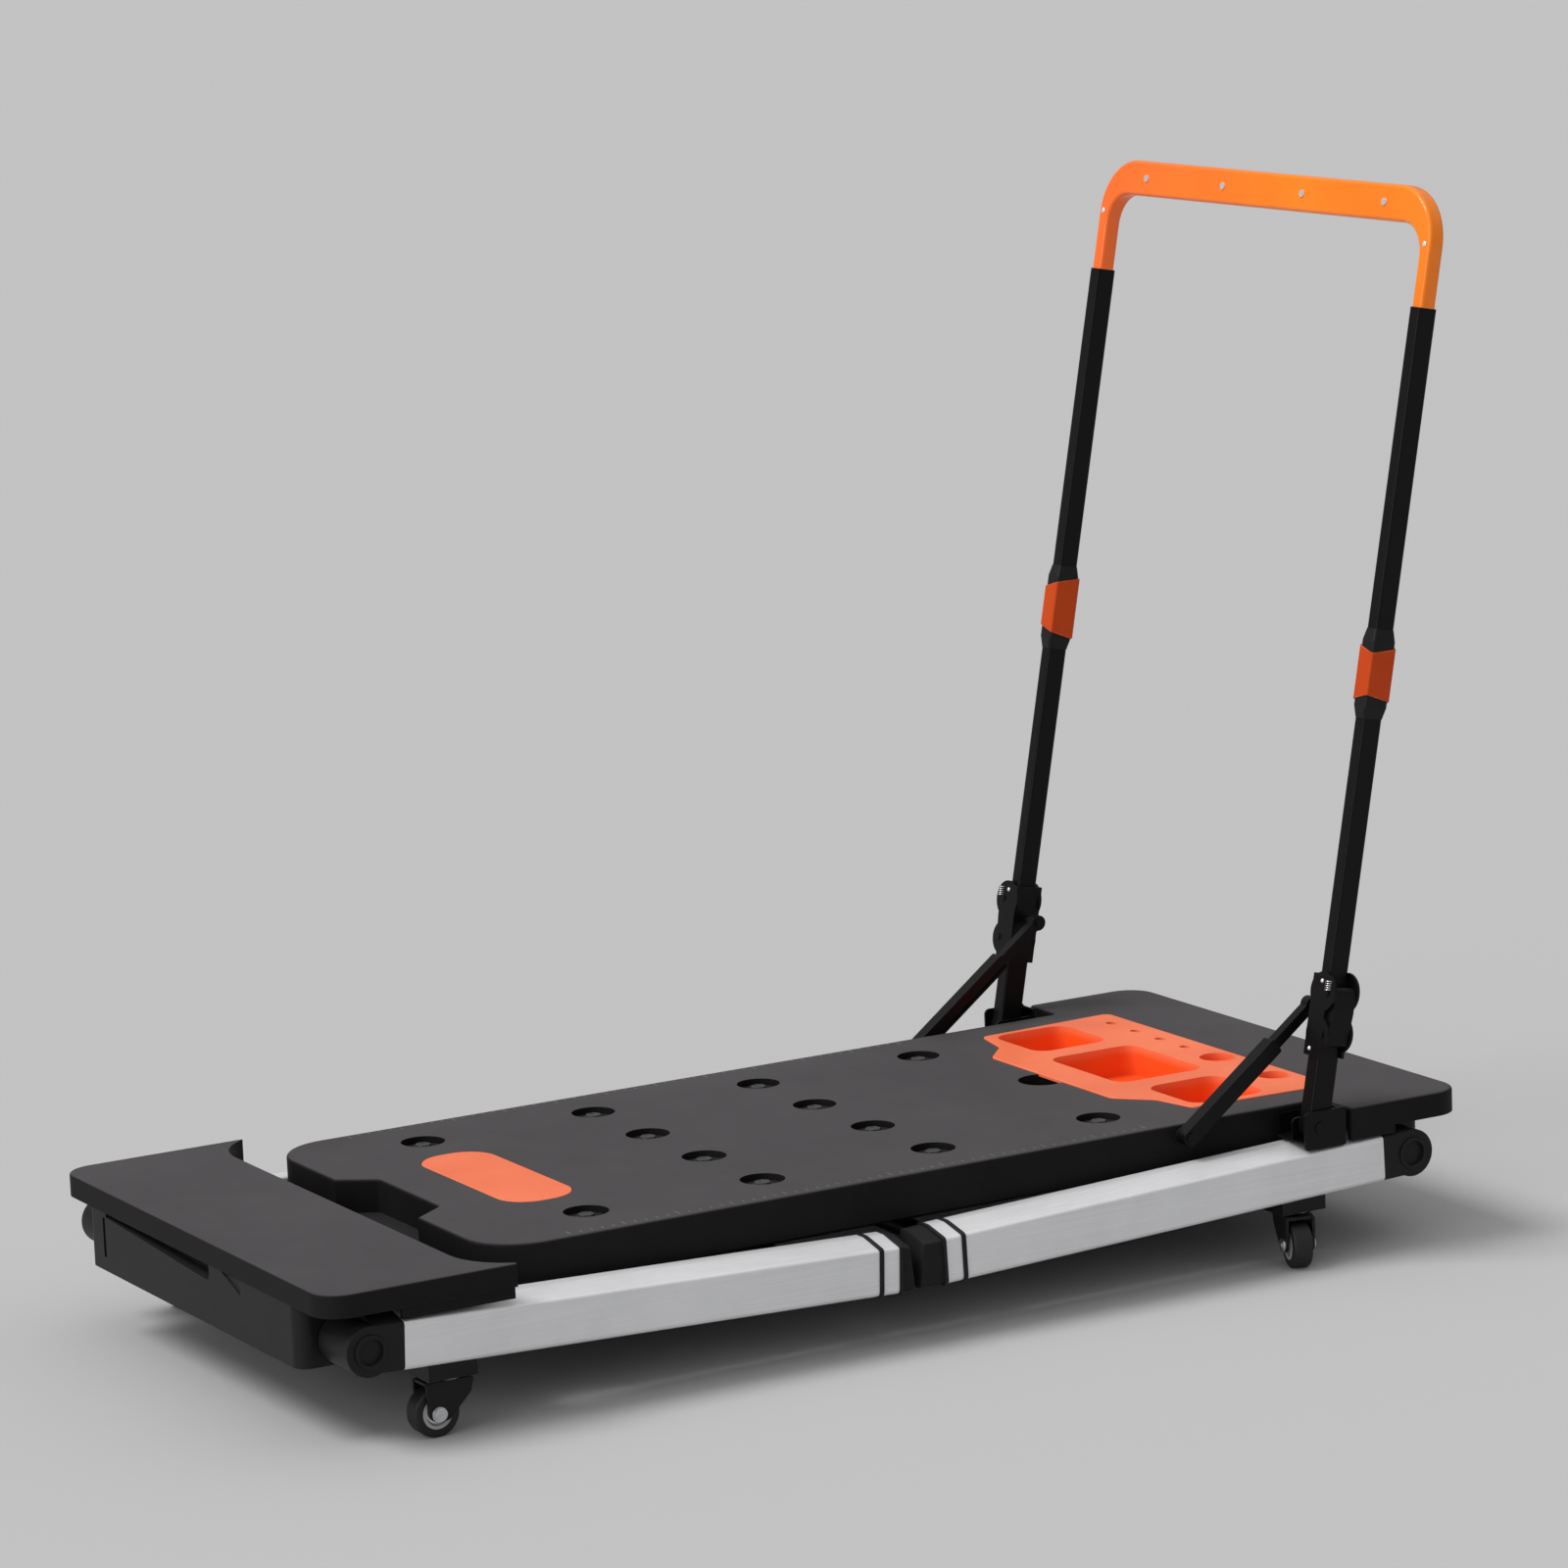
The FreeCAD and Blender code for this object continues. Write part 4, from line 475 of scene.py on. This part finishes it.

# %% [markdown]
# ## Bare metals
# The rails are drawn aluminium, anodised to a satin sheen, with fine lines along them and a
# slow drift in brightness; their edges are painted near white, as a highlight with some wear.
# Pins and axles are zinc plated, with soft cloudy patches. Rivets and small screws have a
# brighter plating, so one function makes both.

# %% Bare metals
def satin_aluminium(name, low, high, stretch):
    finish, tree, shader = start_finish(name, Specular_IOR_Level=0.4, Metallic=0.22)
    streak = place_group(tree, DRAWN_STREAKS, Stretch=stretch, Contrast=1.3).outputs["Value"]
    where = add(tree, "ShaderNodeTexCoord").outputs["Object"]
    smear = add(tree, "ShaderNodeTexNoise", Vector=where, Scale=14.0, Detail=6.0, Roughness=0.65).outputs["Fac"]
    share = add(tree, "ShaderNodeMath", {"operation": "MULTIPLY"}, at0=smear, at1=0.6)
    both = add(tree, "ShaderNodeMath", {"operation": "MULTIPLY_ADD", "use_clamp": True}, at0=streak, at1=0.5,
               at2=share.outputs[0])
    # Edges near white: a painted highlight with some wear.
    edge = place_group(tree, EDGE_WEAR_AND_HIGHLIGHT, Amount=0.3).outputs["Mask"]
    colour = mixed(tree, both.outputs[0], low, high)
    tree.links.new(mixed(tree, edge, colour, (0.96, 0.96, 0.97, 1)), shader.inputs["Base Color"])
    rough = add(tree, "ShaderNodeMapRange", Value=both.outputs[0], To_Min=0.34, To_Max=0.50)
    tree.links.new(rough.outputs[0], shader.inputs["Roughness"])
    tree.links.new(bumped(tree, streak, 0.10, 0.0003), shader.inputs["Normal"])
    return finish


def cloudy_plate(name, low, high, cloud_size, smoothest, roughest, relief, **constants):
    """Plated steel whose colour and roughness drift in soft patches."""
    finish, tree, shader = start_finish(name, **constants)
    where = add(tree, "ShaderNodeTexCoord").outputs["Object"]
    cloud = add(tree, "ShaderNodeTexNoise", Vector=where, **cloud_size).outputs["Fac"]
    tree.links.new(mixed(tree, cloud, low, high), shader.inputs["Base Color"])
    rough = add(tree, "ShaderNodeMapRange", Value=cloud, To_Min=smoothest, To_Max=roughest)
    tree.links.new(rough.outputs[0], shader.inputs["Roughness"])
    tree.links.new(bumped(tree, cloud, relief, 0.0002), shader.inputs["Normal"])
    return finish


RAIL_ALUMINIUM = satin_aluminium("rail_aluminium", (0.58, 0.585, 0.60, 1), (0.88, 0.88, 0.89, 1),
                                 stretch=(4.0, 900.0, 900.0))
ZINC_PLATE = cloudy_plate("zinc_plate", (0.42, 0.42, 0.43, 1), (0.74, 0.75, 0.76, 1),
                          dict(Scale=240.0, Detail=5.0, Roughness=0.6), 0.2, 0.42, 0.12, Metallic=1.0)
BRIGHT_PLATE = cloudy_plate("bright_plate", (0.75, 0.75, 0.76, 1), (0.98, 0.98, 0.99, 1),
                            dict(Scale=600.0, Detail=4.0), 0.22, 0.38, 0.08, Metallic=0.65,
                            Specular_IOR_Level=0.5)
print("finishes:", RAIL_ALUMINIUM.name, ZINC_PLATE.name, BRIGHT_PLATE.name)

# %% [markdown]
# ## Rubber, tyre and hub
# Rubber is nearly black and very rough. Its edges are lighter, as wear and a painted highlight,
# and its upward faces a little lighter, as dust and painted top light. The tyre and the hub get
# lighter edges the same way. The hub is a light grey moulding.

# %% Rubber, tyre and hub
RUBBER = moulded_finish(
    "rubber_black", (0.006, 0.006, 0.006, 1), (0.014, 0.014, 0.014, 1), (0.05, 0.05, 0.05, 1), 0.8, 600.0,
    0.5, 0.1, (0.04, 0.04, 0.04, 1), 0.5, Specular_IOR_Level=0.25)
TYRE_BLACK = moulded_finish(
    "tyre_black", (0.008, 0.008, 0.008, 1), (0.018, 0.018, 0.018, 1), (0.06, 0.06, 0.06, 1), 0.55, 900.0,
    0.4, 0.0, (0.04, 0.04, 0.04, 1), 0.3, Specular_IOR_Level=0.35)
HUB_GREY = moulded_finish(
    "hub_grey", (0.36, 0.36, 0.365, 1), (0.48, 0.48, 0.485, 1), (0.7, 0.7, 0.7, 1), 0.35, 1200.0,
    0.4, 0.0, (0.5, 0.5, 0.5, 1), 0.15, Specular_IOR_Level=0.5)
print("finishes:", RUBBER.name, TYRE_BLACK.name, HUB_GREY.name)

# %% [markdown]
# ## Giving the parts their finish
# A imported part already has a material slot. Putting another material in that slot changes
# its look and leaves its mesh alone. The first words of a part's name decide its finish.

# %% Giving the parts their finish
FINISH_BY_NAME = (
    ("deck_panel", DECK_SKIN), ("front_plate", DECK_SKIN), ("pad_insert", ORANGE_MOULDING),
    ("tool_tray", ORANGE_MOULDING), ("coupler_bands", BAND_ORANGE), ("couplers", HOUSING_SKIN),
    ("front_housing", HOUSING_SKIN), ("rear_housing", HOUSING_SKIN), ("leg_knuckles", HOUSING_SKIN),
    ("leg_button", HOUSING_SKIN), ("leg_collars", HOUSING_SKIN), ("leg_feet", RUBBER),
    ("leg_sleeves", RAIL_ALUMINIUM), ("rail_", RAIL_ALUMINIUM), ("leg_pivot_pins", ZINC_PLATE),
    ("deck_bolts", ZINC_PLATE), ("grip_rivets", BRIGHT_PLATE), ("handle_pivot_pins", POWDER_BLACK),
    ("grip", GLOSS_ORANGE), ("caster_tyre", TYRE_BLACK), ("caster_hub", HUB_GREY),
    ("caster_axle", ZINC_PLATE), ("caster_fork", FORK_BLACK), ("caster_mounts", FORK_BLACK),
)


def finish_for(name):
    for start, finish in FINISH_BY_NAME:
        if name.startswith(start):
            return finish
    return POWDER_BLACK


for name, part in nodes.items():
    for place in part.material_slots:
        place.material = finish_for(name)
print("finished", len(nodes), "packed parts with", len({finish_for(n).name for n in nodes}), "materials")

# %% [markdown]
# ## Shaping helper
# The small pieces are turned or stamped. A turned piece starts as a few points, a half
# outline, which bmesh spins round an axis. A stamped piece is one such shape copied to many
# places. Nuts and bolt heads share a six-sided block with eased edges. One helper turns a
# finished bmesh into an object, smooths its round faces and tells the frame which body it
# rides on.

# %% Shaping helper
SHARP_ANGLE = math.radians(40)


def turned(outline, steps=24):
    """Spin (radius, height) points round Z and return the closed shape."""
    shape = bmesh.new()
    points = [shape.verts.new((radius, 0, height)) for radius, height in outline]
    lines = [shape.edges.new(pair) for pair in zip(points, points[1:])]
    bmesh.ops.spin(shape, geom=points + lines, cent=(0, 0, 0), axis=(0, 0, 1), angle=math.tau, steps=steps,
                   use_merge=True)
    bmesh.ops.remove_doubles(shape, verts=shape.verts, dist=1e-6)
    bmesh.ops.recalc_face_normals(shape, faces=shape.faces)
    return shape


def stamp(target, shape, matrix):
    """Add a copy of a shape to a larger one, moved by a matrix."""
    copied = shape.copy()
    bmesh.ops.transform(copied, matrix=matrix, verts=copied.verts)
    mesh = bpy.data.meshes.new("stamp")
    copied.to_mesh(mesh)
    copied.free()
    target.from_mesh(mesh)
    bpy.data.meshes.remove(mesh)


def settle(name, shape, finish, body):
    """Make the object, give it its finish and let it ride on its body."""
    mesh = bpy.data.meshes.new(name)
    bmesh.ops.recalc_face_normals(shape, faces=shape.faces)
    shape.to_mesh(mesh)
    shape.free()
    for face in mesh.polygons:
        face.use_smooth = True
    mesh.set_sharp_from_angle(angle=SHARP_ANGLE)
    mesh.materials.append(finish)
    made = bpy.data.objects.new(name, mesh)
    bpy.context.collection.objects.link(made)
    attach(made, body)
    print(name, "on", body, len(mesh.polygons), "faces")
    return made


def at(x, y, z):
    return Matrix.Translation((x, y, z))


def pulled_up(shape, height):
    """Extrude every face of a flat shape upwards."""
    raised = bmesh.ops.extrude_face_region(shape, geom=shape.faces[:])
    top = [item for item in raised["geom"] if isinstance(item, bmesh.types.BMVert)]
    bmesh.ops.translate(shape, verts=top, vec=(0, 0, height))


def eased(shape, edges, width):
    """Round some edges off with a narrow bevel of two segments."""
    bmesh.ops.bevel(shape, geom=edges, offset=width, offset_type="OFFSET", segments=2, profile=0.5,
                    affect="EDGES", material=-1)


def hex_block(radius, bottom, height, ease):
    """A six-sided block whose upper edges are eased."""
    block = bmesh.new()
    bmesh.ops.create_circle(block, cap_ends=True, segments=6, radius=radius, matrix=at(0, 0, bottom))
    pulled_up(block, height)
    eased(block, [edge for edge in block.edges if all(v.co.z > bottom + height / 2 for v in edge.verts)], ease)
    return block


def facing(direction):
    """A turn that points an upright shape along a direction."""
    return direction.to_track_quat("Z", "Y").to_matrix().to_4x4()


TO_MINUS_X = Matrix.Rotation(math.radians(-90), 4, "Y")
print("shaping helpers ready")

# %% [markdown]
# ## Where things are
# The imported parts' boxes give the middle of the deck, and the deck's top is just below the pad
# that stands a little proud of it. The record's joints give the pivots and the wheels' lines.

# %% Where things are
DECK_HALF_LENGTH = 544.5 * MM
DECK_HALF_TICKS = 203.5 * MM
DECK_MIDDLE_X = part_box("deck_panel")[1][0] - DECK_HALF_LENGTH
JOINTS = {joint["name"]: joint for joint in frame["record"]["behaviour"]["joints"]}
print("deck top", round(DECK_TOP, 4), "deck middle x", round(DECK_MIDDLE_X, 4))

# %% [markdown]
# ## Deck bolts
# Twelve flanged bolts sit in round pockets. Each has a dished washer, a six-sided head with
# its corners eased by the machine that forged it, and a shallow dimple in the top. The washer
# is turned, and the head is a six-cornered circle pulled up, bevelled and inset.

# %% Deck bolts
BOLT_PITCH_X = 165.0 * MM
BOLT_PITCH_Y = 97.9 * MM
BOLT_FIRST_X = DECK_MIDDLE_X - 256.0 * MM
BOLT_GRID = ((0, (-1.5, 1.5)), (1, (-1.5, -0.5, 0.5, 1.5)), (2, (-1.5, -0.5, 0.5, 1.5)), (3, (-1.5, 1.5)))
POCKET_FLOOR = DECK_TOP - 6.0 * MM


def bolt_head():
    """One bolt head with its washer, standing on z = 0."""
    washer = turned([(0, 0.0001), (0.0098, 0.0001), (0.0101, 0.0005), (0.0095, 0.0011), (0.0078, 0.0016),
                     (0, 0.0018)], 32)
    head = hex_block(0.0074, 0.0012, 0.0029, 0.0008)
    cap = max(head.faces, key=lambda face: face.calc_center_median().z)
    bmesh.ops.inset_region(head, faces=[cap], thickness=0.0016, depth=0)
    bmesh.ops.inset_region(head, faces=[cap], thickness=0.0006, depth=-0.0005)
    stamp(washer, head, Matrix.Identity(4))
    head.free()
    return washer


def bolt_set():
    one = bolt_head()
    every = bmesh.new()
    count = 0
    for row, offsets in BOLT_GRID:
        for offset in offsets:
            turn = Matrix.Rotation(math.radians(17 * count + 9 * row), 4, "Z")
            place = at(BOLT_FIRST_X + row * BOLT_PITCH_X, offset * BOLT_PITCH_Y, POCKET_FLOOR)
            stamp(every, one, place @ turn)
            count += 1
    one.free()
    return every


BOLT_GREY = powder_coat("bolt_grey", (0.030, 0.030, 0.031, 1), (0.062, 0.062, 0.064, 1), (0.22, 0.22, 0.22, 1),
                        0.36, 0.6)
bolts = settle("bolt_heads", bolt_set(), BOLT_GREY, "deck")
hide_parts("deck_bolts")

# %% [markdown]
# ## Edge rules
# Both long edges of the deck carry a rule without numbers: short raised ticks every ten
# millimetres, longer ones every fifty. Each tick is a tiny flattened block.

# %% Edge rules
RULE_START = DECK_MIDDLE_X - 300.0 * MM
RULE_STEPS = 56
TICK_HEIGHT = 0.25 * MM


def tick_row(side):
    block = bmesh.new()
    bmesh.ops.create_cube(block, size=1.0)
    row = bmesh.new()
    for step in range(RULE_STEPS):
        length = (9.0 if step % 5 == 0 else 5.0) * MM
        edge = side * DECK_HALF_TICKS
        size = Matrix.Diagonal((1.1 * MM, length, TICK_HEIGHT * 2, 1))
        stamp(row, block, at(RULE_START + step * 10.0 * MM, edge - side * length / 2, DECK_TOP) @ size)
    block.free()
    return row


RULE_GREY = moulded_finish(
    "rule_grey", (0.09, 0.088, 0.09, 1), (0.17, 0.166, 0.17, 1), (0.2, 0.2, 0.2, 1), 0.6, 900.0,
    0.2, 0.15, (0.09, 0.09, 0.09, 1), 0.2, Specular_IOR_Level=0.3)
for side_name, side in SIDES.items():
    settle("edge_rule_" + side_name, tick_row(side), RULE_GREY, "deck")

# %% [markdown]
# ## Caster nuts
# Each axle ends in a lock nut over a washer. The middle of the axle's box gives the place, and
# two far points on the top of its head flanges show roughly which way it points.

# %% Caster nuts
NUT_SEAT = 2.5 * MM
RIDGE_RISE = 5.3 * MM


def lock_nut():
    """A washer, a six-sided nut and the rounded end of the axle, standing on z = 0."""
    washer = turned([(0, 0), (0.0062, 0), (0.0064, 0.0003), (0.0062, 0.0007), (0, 0.0007)], 24)
    nut = hex_block(0.0052, 0.0006, 0.0011, 0.0005)
    stamp(washer, nut, Matrix.Identity(4))
    nut.free()
    end = turned([(0, 0.0012), (0.0028, 0.0012), (0.0028, 0.0019), (0.0020, 0.0023), (0, 0.0024)], 16)
    stamp(washer, end, Matrix.Identity(4))
    end.free()
    return washer


def axle_direction(axle, middle):
    """A level unit vector from one corner of the axle's top ridge to the far one.

    It crosses the ridge slightly, so it is about 2.7 degrees off the axle's own line.
    """
    ridge = [vertex.co for vertex in axle.data.vertices if vertex.co.z > middle.z + RIDGE_RISE]
    across = max(ridge, key=lambda point: (point - ridge[0]).length) - ridge[0]
    return Vector((across.x, across.y, 0)).normalized()


for end in ENDS:
    for side_name in SIDES:
        label = end + "_" + side_name
        axle = nodes["caster_axle_" + label]
        low, high = (Vector(corner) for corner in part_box(axle.name))
        middle = (low + high) / 2
        heading = axle_direction(axle, middle)
        reach = max((vertex.co - middle).dot(heading) for vertex in axle.data.vertices)
        nut = lock_nut()
        pair = bmesh.new()
        for outward in (heading, -heading):
            start = middle + outward * (reach - NUT_SEAT)
            stamp(pair, nut, Matrix.Translation(start) @ facing(outward))
        nut.free()
        settle("axle_nuts_" + label, pair, ZINC_PLATE, "caster_" + label)

# %% [markdown]
# ## Lever springs
# Behind each lock lever a short coil spring holds the lever in. A small circle is carried
# round and along its axis by spin with a sideways step, which is how a spring is wound.

# %% Lever springs
LEAN = math.radians(10.76)
SPRING_BACK = 24.5 * MM
SPRING_DROP = 3.0 * MM
SPRING_INWARD = 1.0 * MM


def spring_coil(radius, wire, turns, length):
    coil = bmesh.new()
    upright = at(radius, 0, 0) @ Matrix.Rotation(math.radians(90), 4, "X")
    ring = bmesh.ops.create_circle(coil, cap_ends=False, segments=8, radius=wire, matrix=upright)
    steps = turns * 16
    bmesh.ops.spin(coil, geom=ring["verts"] + coil.edges[:], cent=(0, 0, 0), axis=(0, 0, 1),
                   angle=math.tau * turns, steps=steps, dvec=(0, 0, length / steps))
    bmesh.ops.holes_fill(coil, edges=[edge for edge in coil.edges if edge.is_boundary], sides=0)
    return coil


for side_name, side in SIDES.items():
    low, high = (Vector(corner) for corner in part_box("lock_lever_" + side_name))
    y = side * (abs(low.y + high.y) / 2 - SPRING_INWARD)
    coil = spring_coil(3.1 * MM, 0.55 * MM, 5, 9.0 * MM)
    spring = bmesh.new()
    stamp(spring, coil, at(high.x - SPRING_BACK, y, high.z - SPRING_DROP) @ Matrix.Rotation(LEAN, 4, "Y"))
    coil.free()
    settle("lever_spring_" + side_name, spring, ZINC_PLATE, "handle")

# %% [markdown]
# ## Bright rivets and screws
# Small polished heads catch the light. The cross bar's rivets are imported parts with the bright
# plating. Added here are one screw on each leg of the grip and two on each latch. A head is
# turned from a low dome with a recessed centre. They are placed in the handle's own frame, in
# which z runs up a post, and then leant back with the handle.

# %% Bright rivets and screws
HANDLE_PIVOT = Vector(JOINTS["handle_fold"]["pos_m"])
HANDLE_FRAME = Matrix.Translation(HANDLE_PIVOT) @ Matrix.Rotation(LEAN, 4, "Y")
POST_Y = 245.4 * MM
LEG_SCREW = (-8.0 * MM, 0.0, 751.0 * MM)
LATCH_SCREWS = ((-13.5 * MM, 3.0 * MM, 125.0 * MM), (-13.5 * MM, -3.0 * MM, 66.0 * MM))


def dome_head(radius, height):
    return turned([(0, 0), (radius, 0), (radius * 0.98, height * 0.4), (radius * 0.75, height * 0.85),
                   (radius * 0.45, height), (radius * 0.38, height * 0.6), (0, height * 0.6)], 20)


def handle_heads():
    """Small heads on the front faces of the grip's legs and of the latch plates."""
    head = dome_head(2.4 * MM, 0.9 * MM)
    small = dome_head(1.9 * MM, 1.1 * MM)
    every = bmesh.new()
    for side in SIDES.values():
        for shape, (x, y, z) in [(head, LEG_SCREW)] + [(small, place) for place in LATCH_SCREWS]:
            stamp(every, shape, HANDLE_FRAME @ at(x, side * (POST_Y + y), z) @ TO_MINUS_X)
    head.free()
    small.free()
    return every


settle("handle_screws", handle_heads(), BRIGHT_PLATE, "handle")

# %% [markdown]
# ## Tray rims
# The two cups and the four bit holes each have a low rounded lip round the mouth. A lip is one
# turned ring, sunk a hair into the tray's top. The tubs have plain edges.

# %% Tray rims
TRAY_END_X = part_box("tool_tray")[1][0]
HOLE_ROW_INSET = 20.5 * MM
CUPS = ((-31.0 * MM, 15.5 * MM), (-118.0 * MM, 14.0 * MM))
BIT_HOLES = (140.0 * MM, 100.0 * MM, 60.0 * MM, 20.0 * MM)
BIT_HOLE_R = 4.4 * MM
CUP_LIP_WIDTH = 1.5 * MM
HOLE_LIP_WIDTH = 0.9 * MM
LIP_HEIGHT = 0.5 * MM
LIP_SUNK = 0.05 * MM


def tray_lips():
    every = bmesh.new()
    rounds = [(y, radius, CUP_LIP_WIDTH) for y, radius in CUPS]
    rounds += [(y, BIT_HOLE_R, HOLE_LIP_WIDTH) for y in BIT_HOLES]
    for y, inner, width in rounds:
        outer = inner + width
        ring = turned([(inner, 0), (inner, LIP_HEIGHT * 0.7), (inner + width * 0.3, LIP_HEIGHT),
                       (inner + width * 0.7, LIP_HEIGHT), (outer, LIP_HEIGHT * 0.5), (outer, 0),
                       (inner, 0)], 32)
        stamp(every, ring, at(TRAY_END_X - HOLE_ROW_INSET, y, TRAY_TOP - LIP_SUNK))
        ring.free()
    return every


settle("tray_rims", tray_lips(), ORANGE_MOULDING, "tray")

# %% [markdown]
# ## Swivel races and bearing shields
# A caster turns on a ring of balls, held by a pressed steel race under its plate. Each wheel
# has a thin bearing shield in the dish of its hub. Both are turned; the place and direction of
# each come from the joint that moves it.

# %% Swivel races and bearing shields
WHEEL_HALF = 8.5 * MM
HUB_DISH = 3.0 * MM


def race_ring():
    return turned([(13.1 * MM, 0.6 * MM), (14.4 * MM, 0.7 * MM), (15.2 * MM, 1.5 * MM), (15.0 * MM, 2.6 * MM),
                   (14.0 * MM, 3.1 * MM), (13.1 * MM, 3.1 * MM), (13.1 * MM, 0.6 * MM)], 40)


def shield_ring():
    return turned([(5.7 * MM, 0), (5.7 * MM, 0.5 * MM), (6.6 * MM, 0.9 * MM), (8.6 * MM, 0.9 * MM),
                   (9.6 * MM, 0.4 * MM), (9.9 * MM, 0), (5.7 * MM, 0)], 32)


for end in ENDS:
    for side_name in SIDES:
        label = end + "_" + side_name
        swivel = Vector(JOINTS["swivel_" + label]["pos_m"])
        wheel = Vector(JOINTS["roll_" + label]["pos_m"])
        axis = Vector(JOINTS["roll_" + label]["axis"]).normalized()
        race = bmesh.new()
        ring = race_ring()
        stamp(race, ring, Matrix.Translation(swivel))
        ring.free()
        settle("swivel_race_" + label, race, ZINC_PLATE, "legs_" + end)
        shields = bmesh.new()
        ring = shield_ring()
        for outward in (axis, -axis):
            start = wheel + outward * (WHEEL_HALF - HUB_DISH)
            stamp(shields, ring, Matrix.Translation(start) @ facing(outward))
        ring.free()
        settle("bearing_shields_" + label, shields, BRIGHT_PLATE, "wheel_" + label)

# %% [markdown]
# ## Knuckle screws
# Each end block has two screws with low domed heads on its under side, set along the droop
# of the folded leg.

# %% Knuckle screws
KNUCKLE_Y = 235.75 * MM
KNUCKLE_HALF = 19.5 * MM
LEG_DROOP = math.radians(2.04)
SCREW_REACHES = (10.0 * MM, 22.0 * MM)


def knuckle_screws(end):
    """Two heads on the under side of each end block."""
    pivot = Vector(JOINTS["legs_" + end + "_fold"]["pos_m"])
    direction = 1 if end == "front" else -1
    head = dome_head(2.6 * MM, 1.1 * MM)
    every = bmesh.new()
    for side in SIDES.values():
        for reach in SCREW_REACHES:
            drop = KNUCKLE_HALF + reach * math.tan(LEG_DROOP)
            place = at(pivot.x + direction * reach, side * KNUCKLE_Y, pivot.z - drop)
            stamp(every, head, place @ Matrix.Rotation(math.radians(180), 4, "X"))
    head.free()
    return every


for end in ENDS:
    settle("knuckle_screws_" + end, knuckle_screws(end), ZINC_PLATE, "legs_" + end)
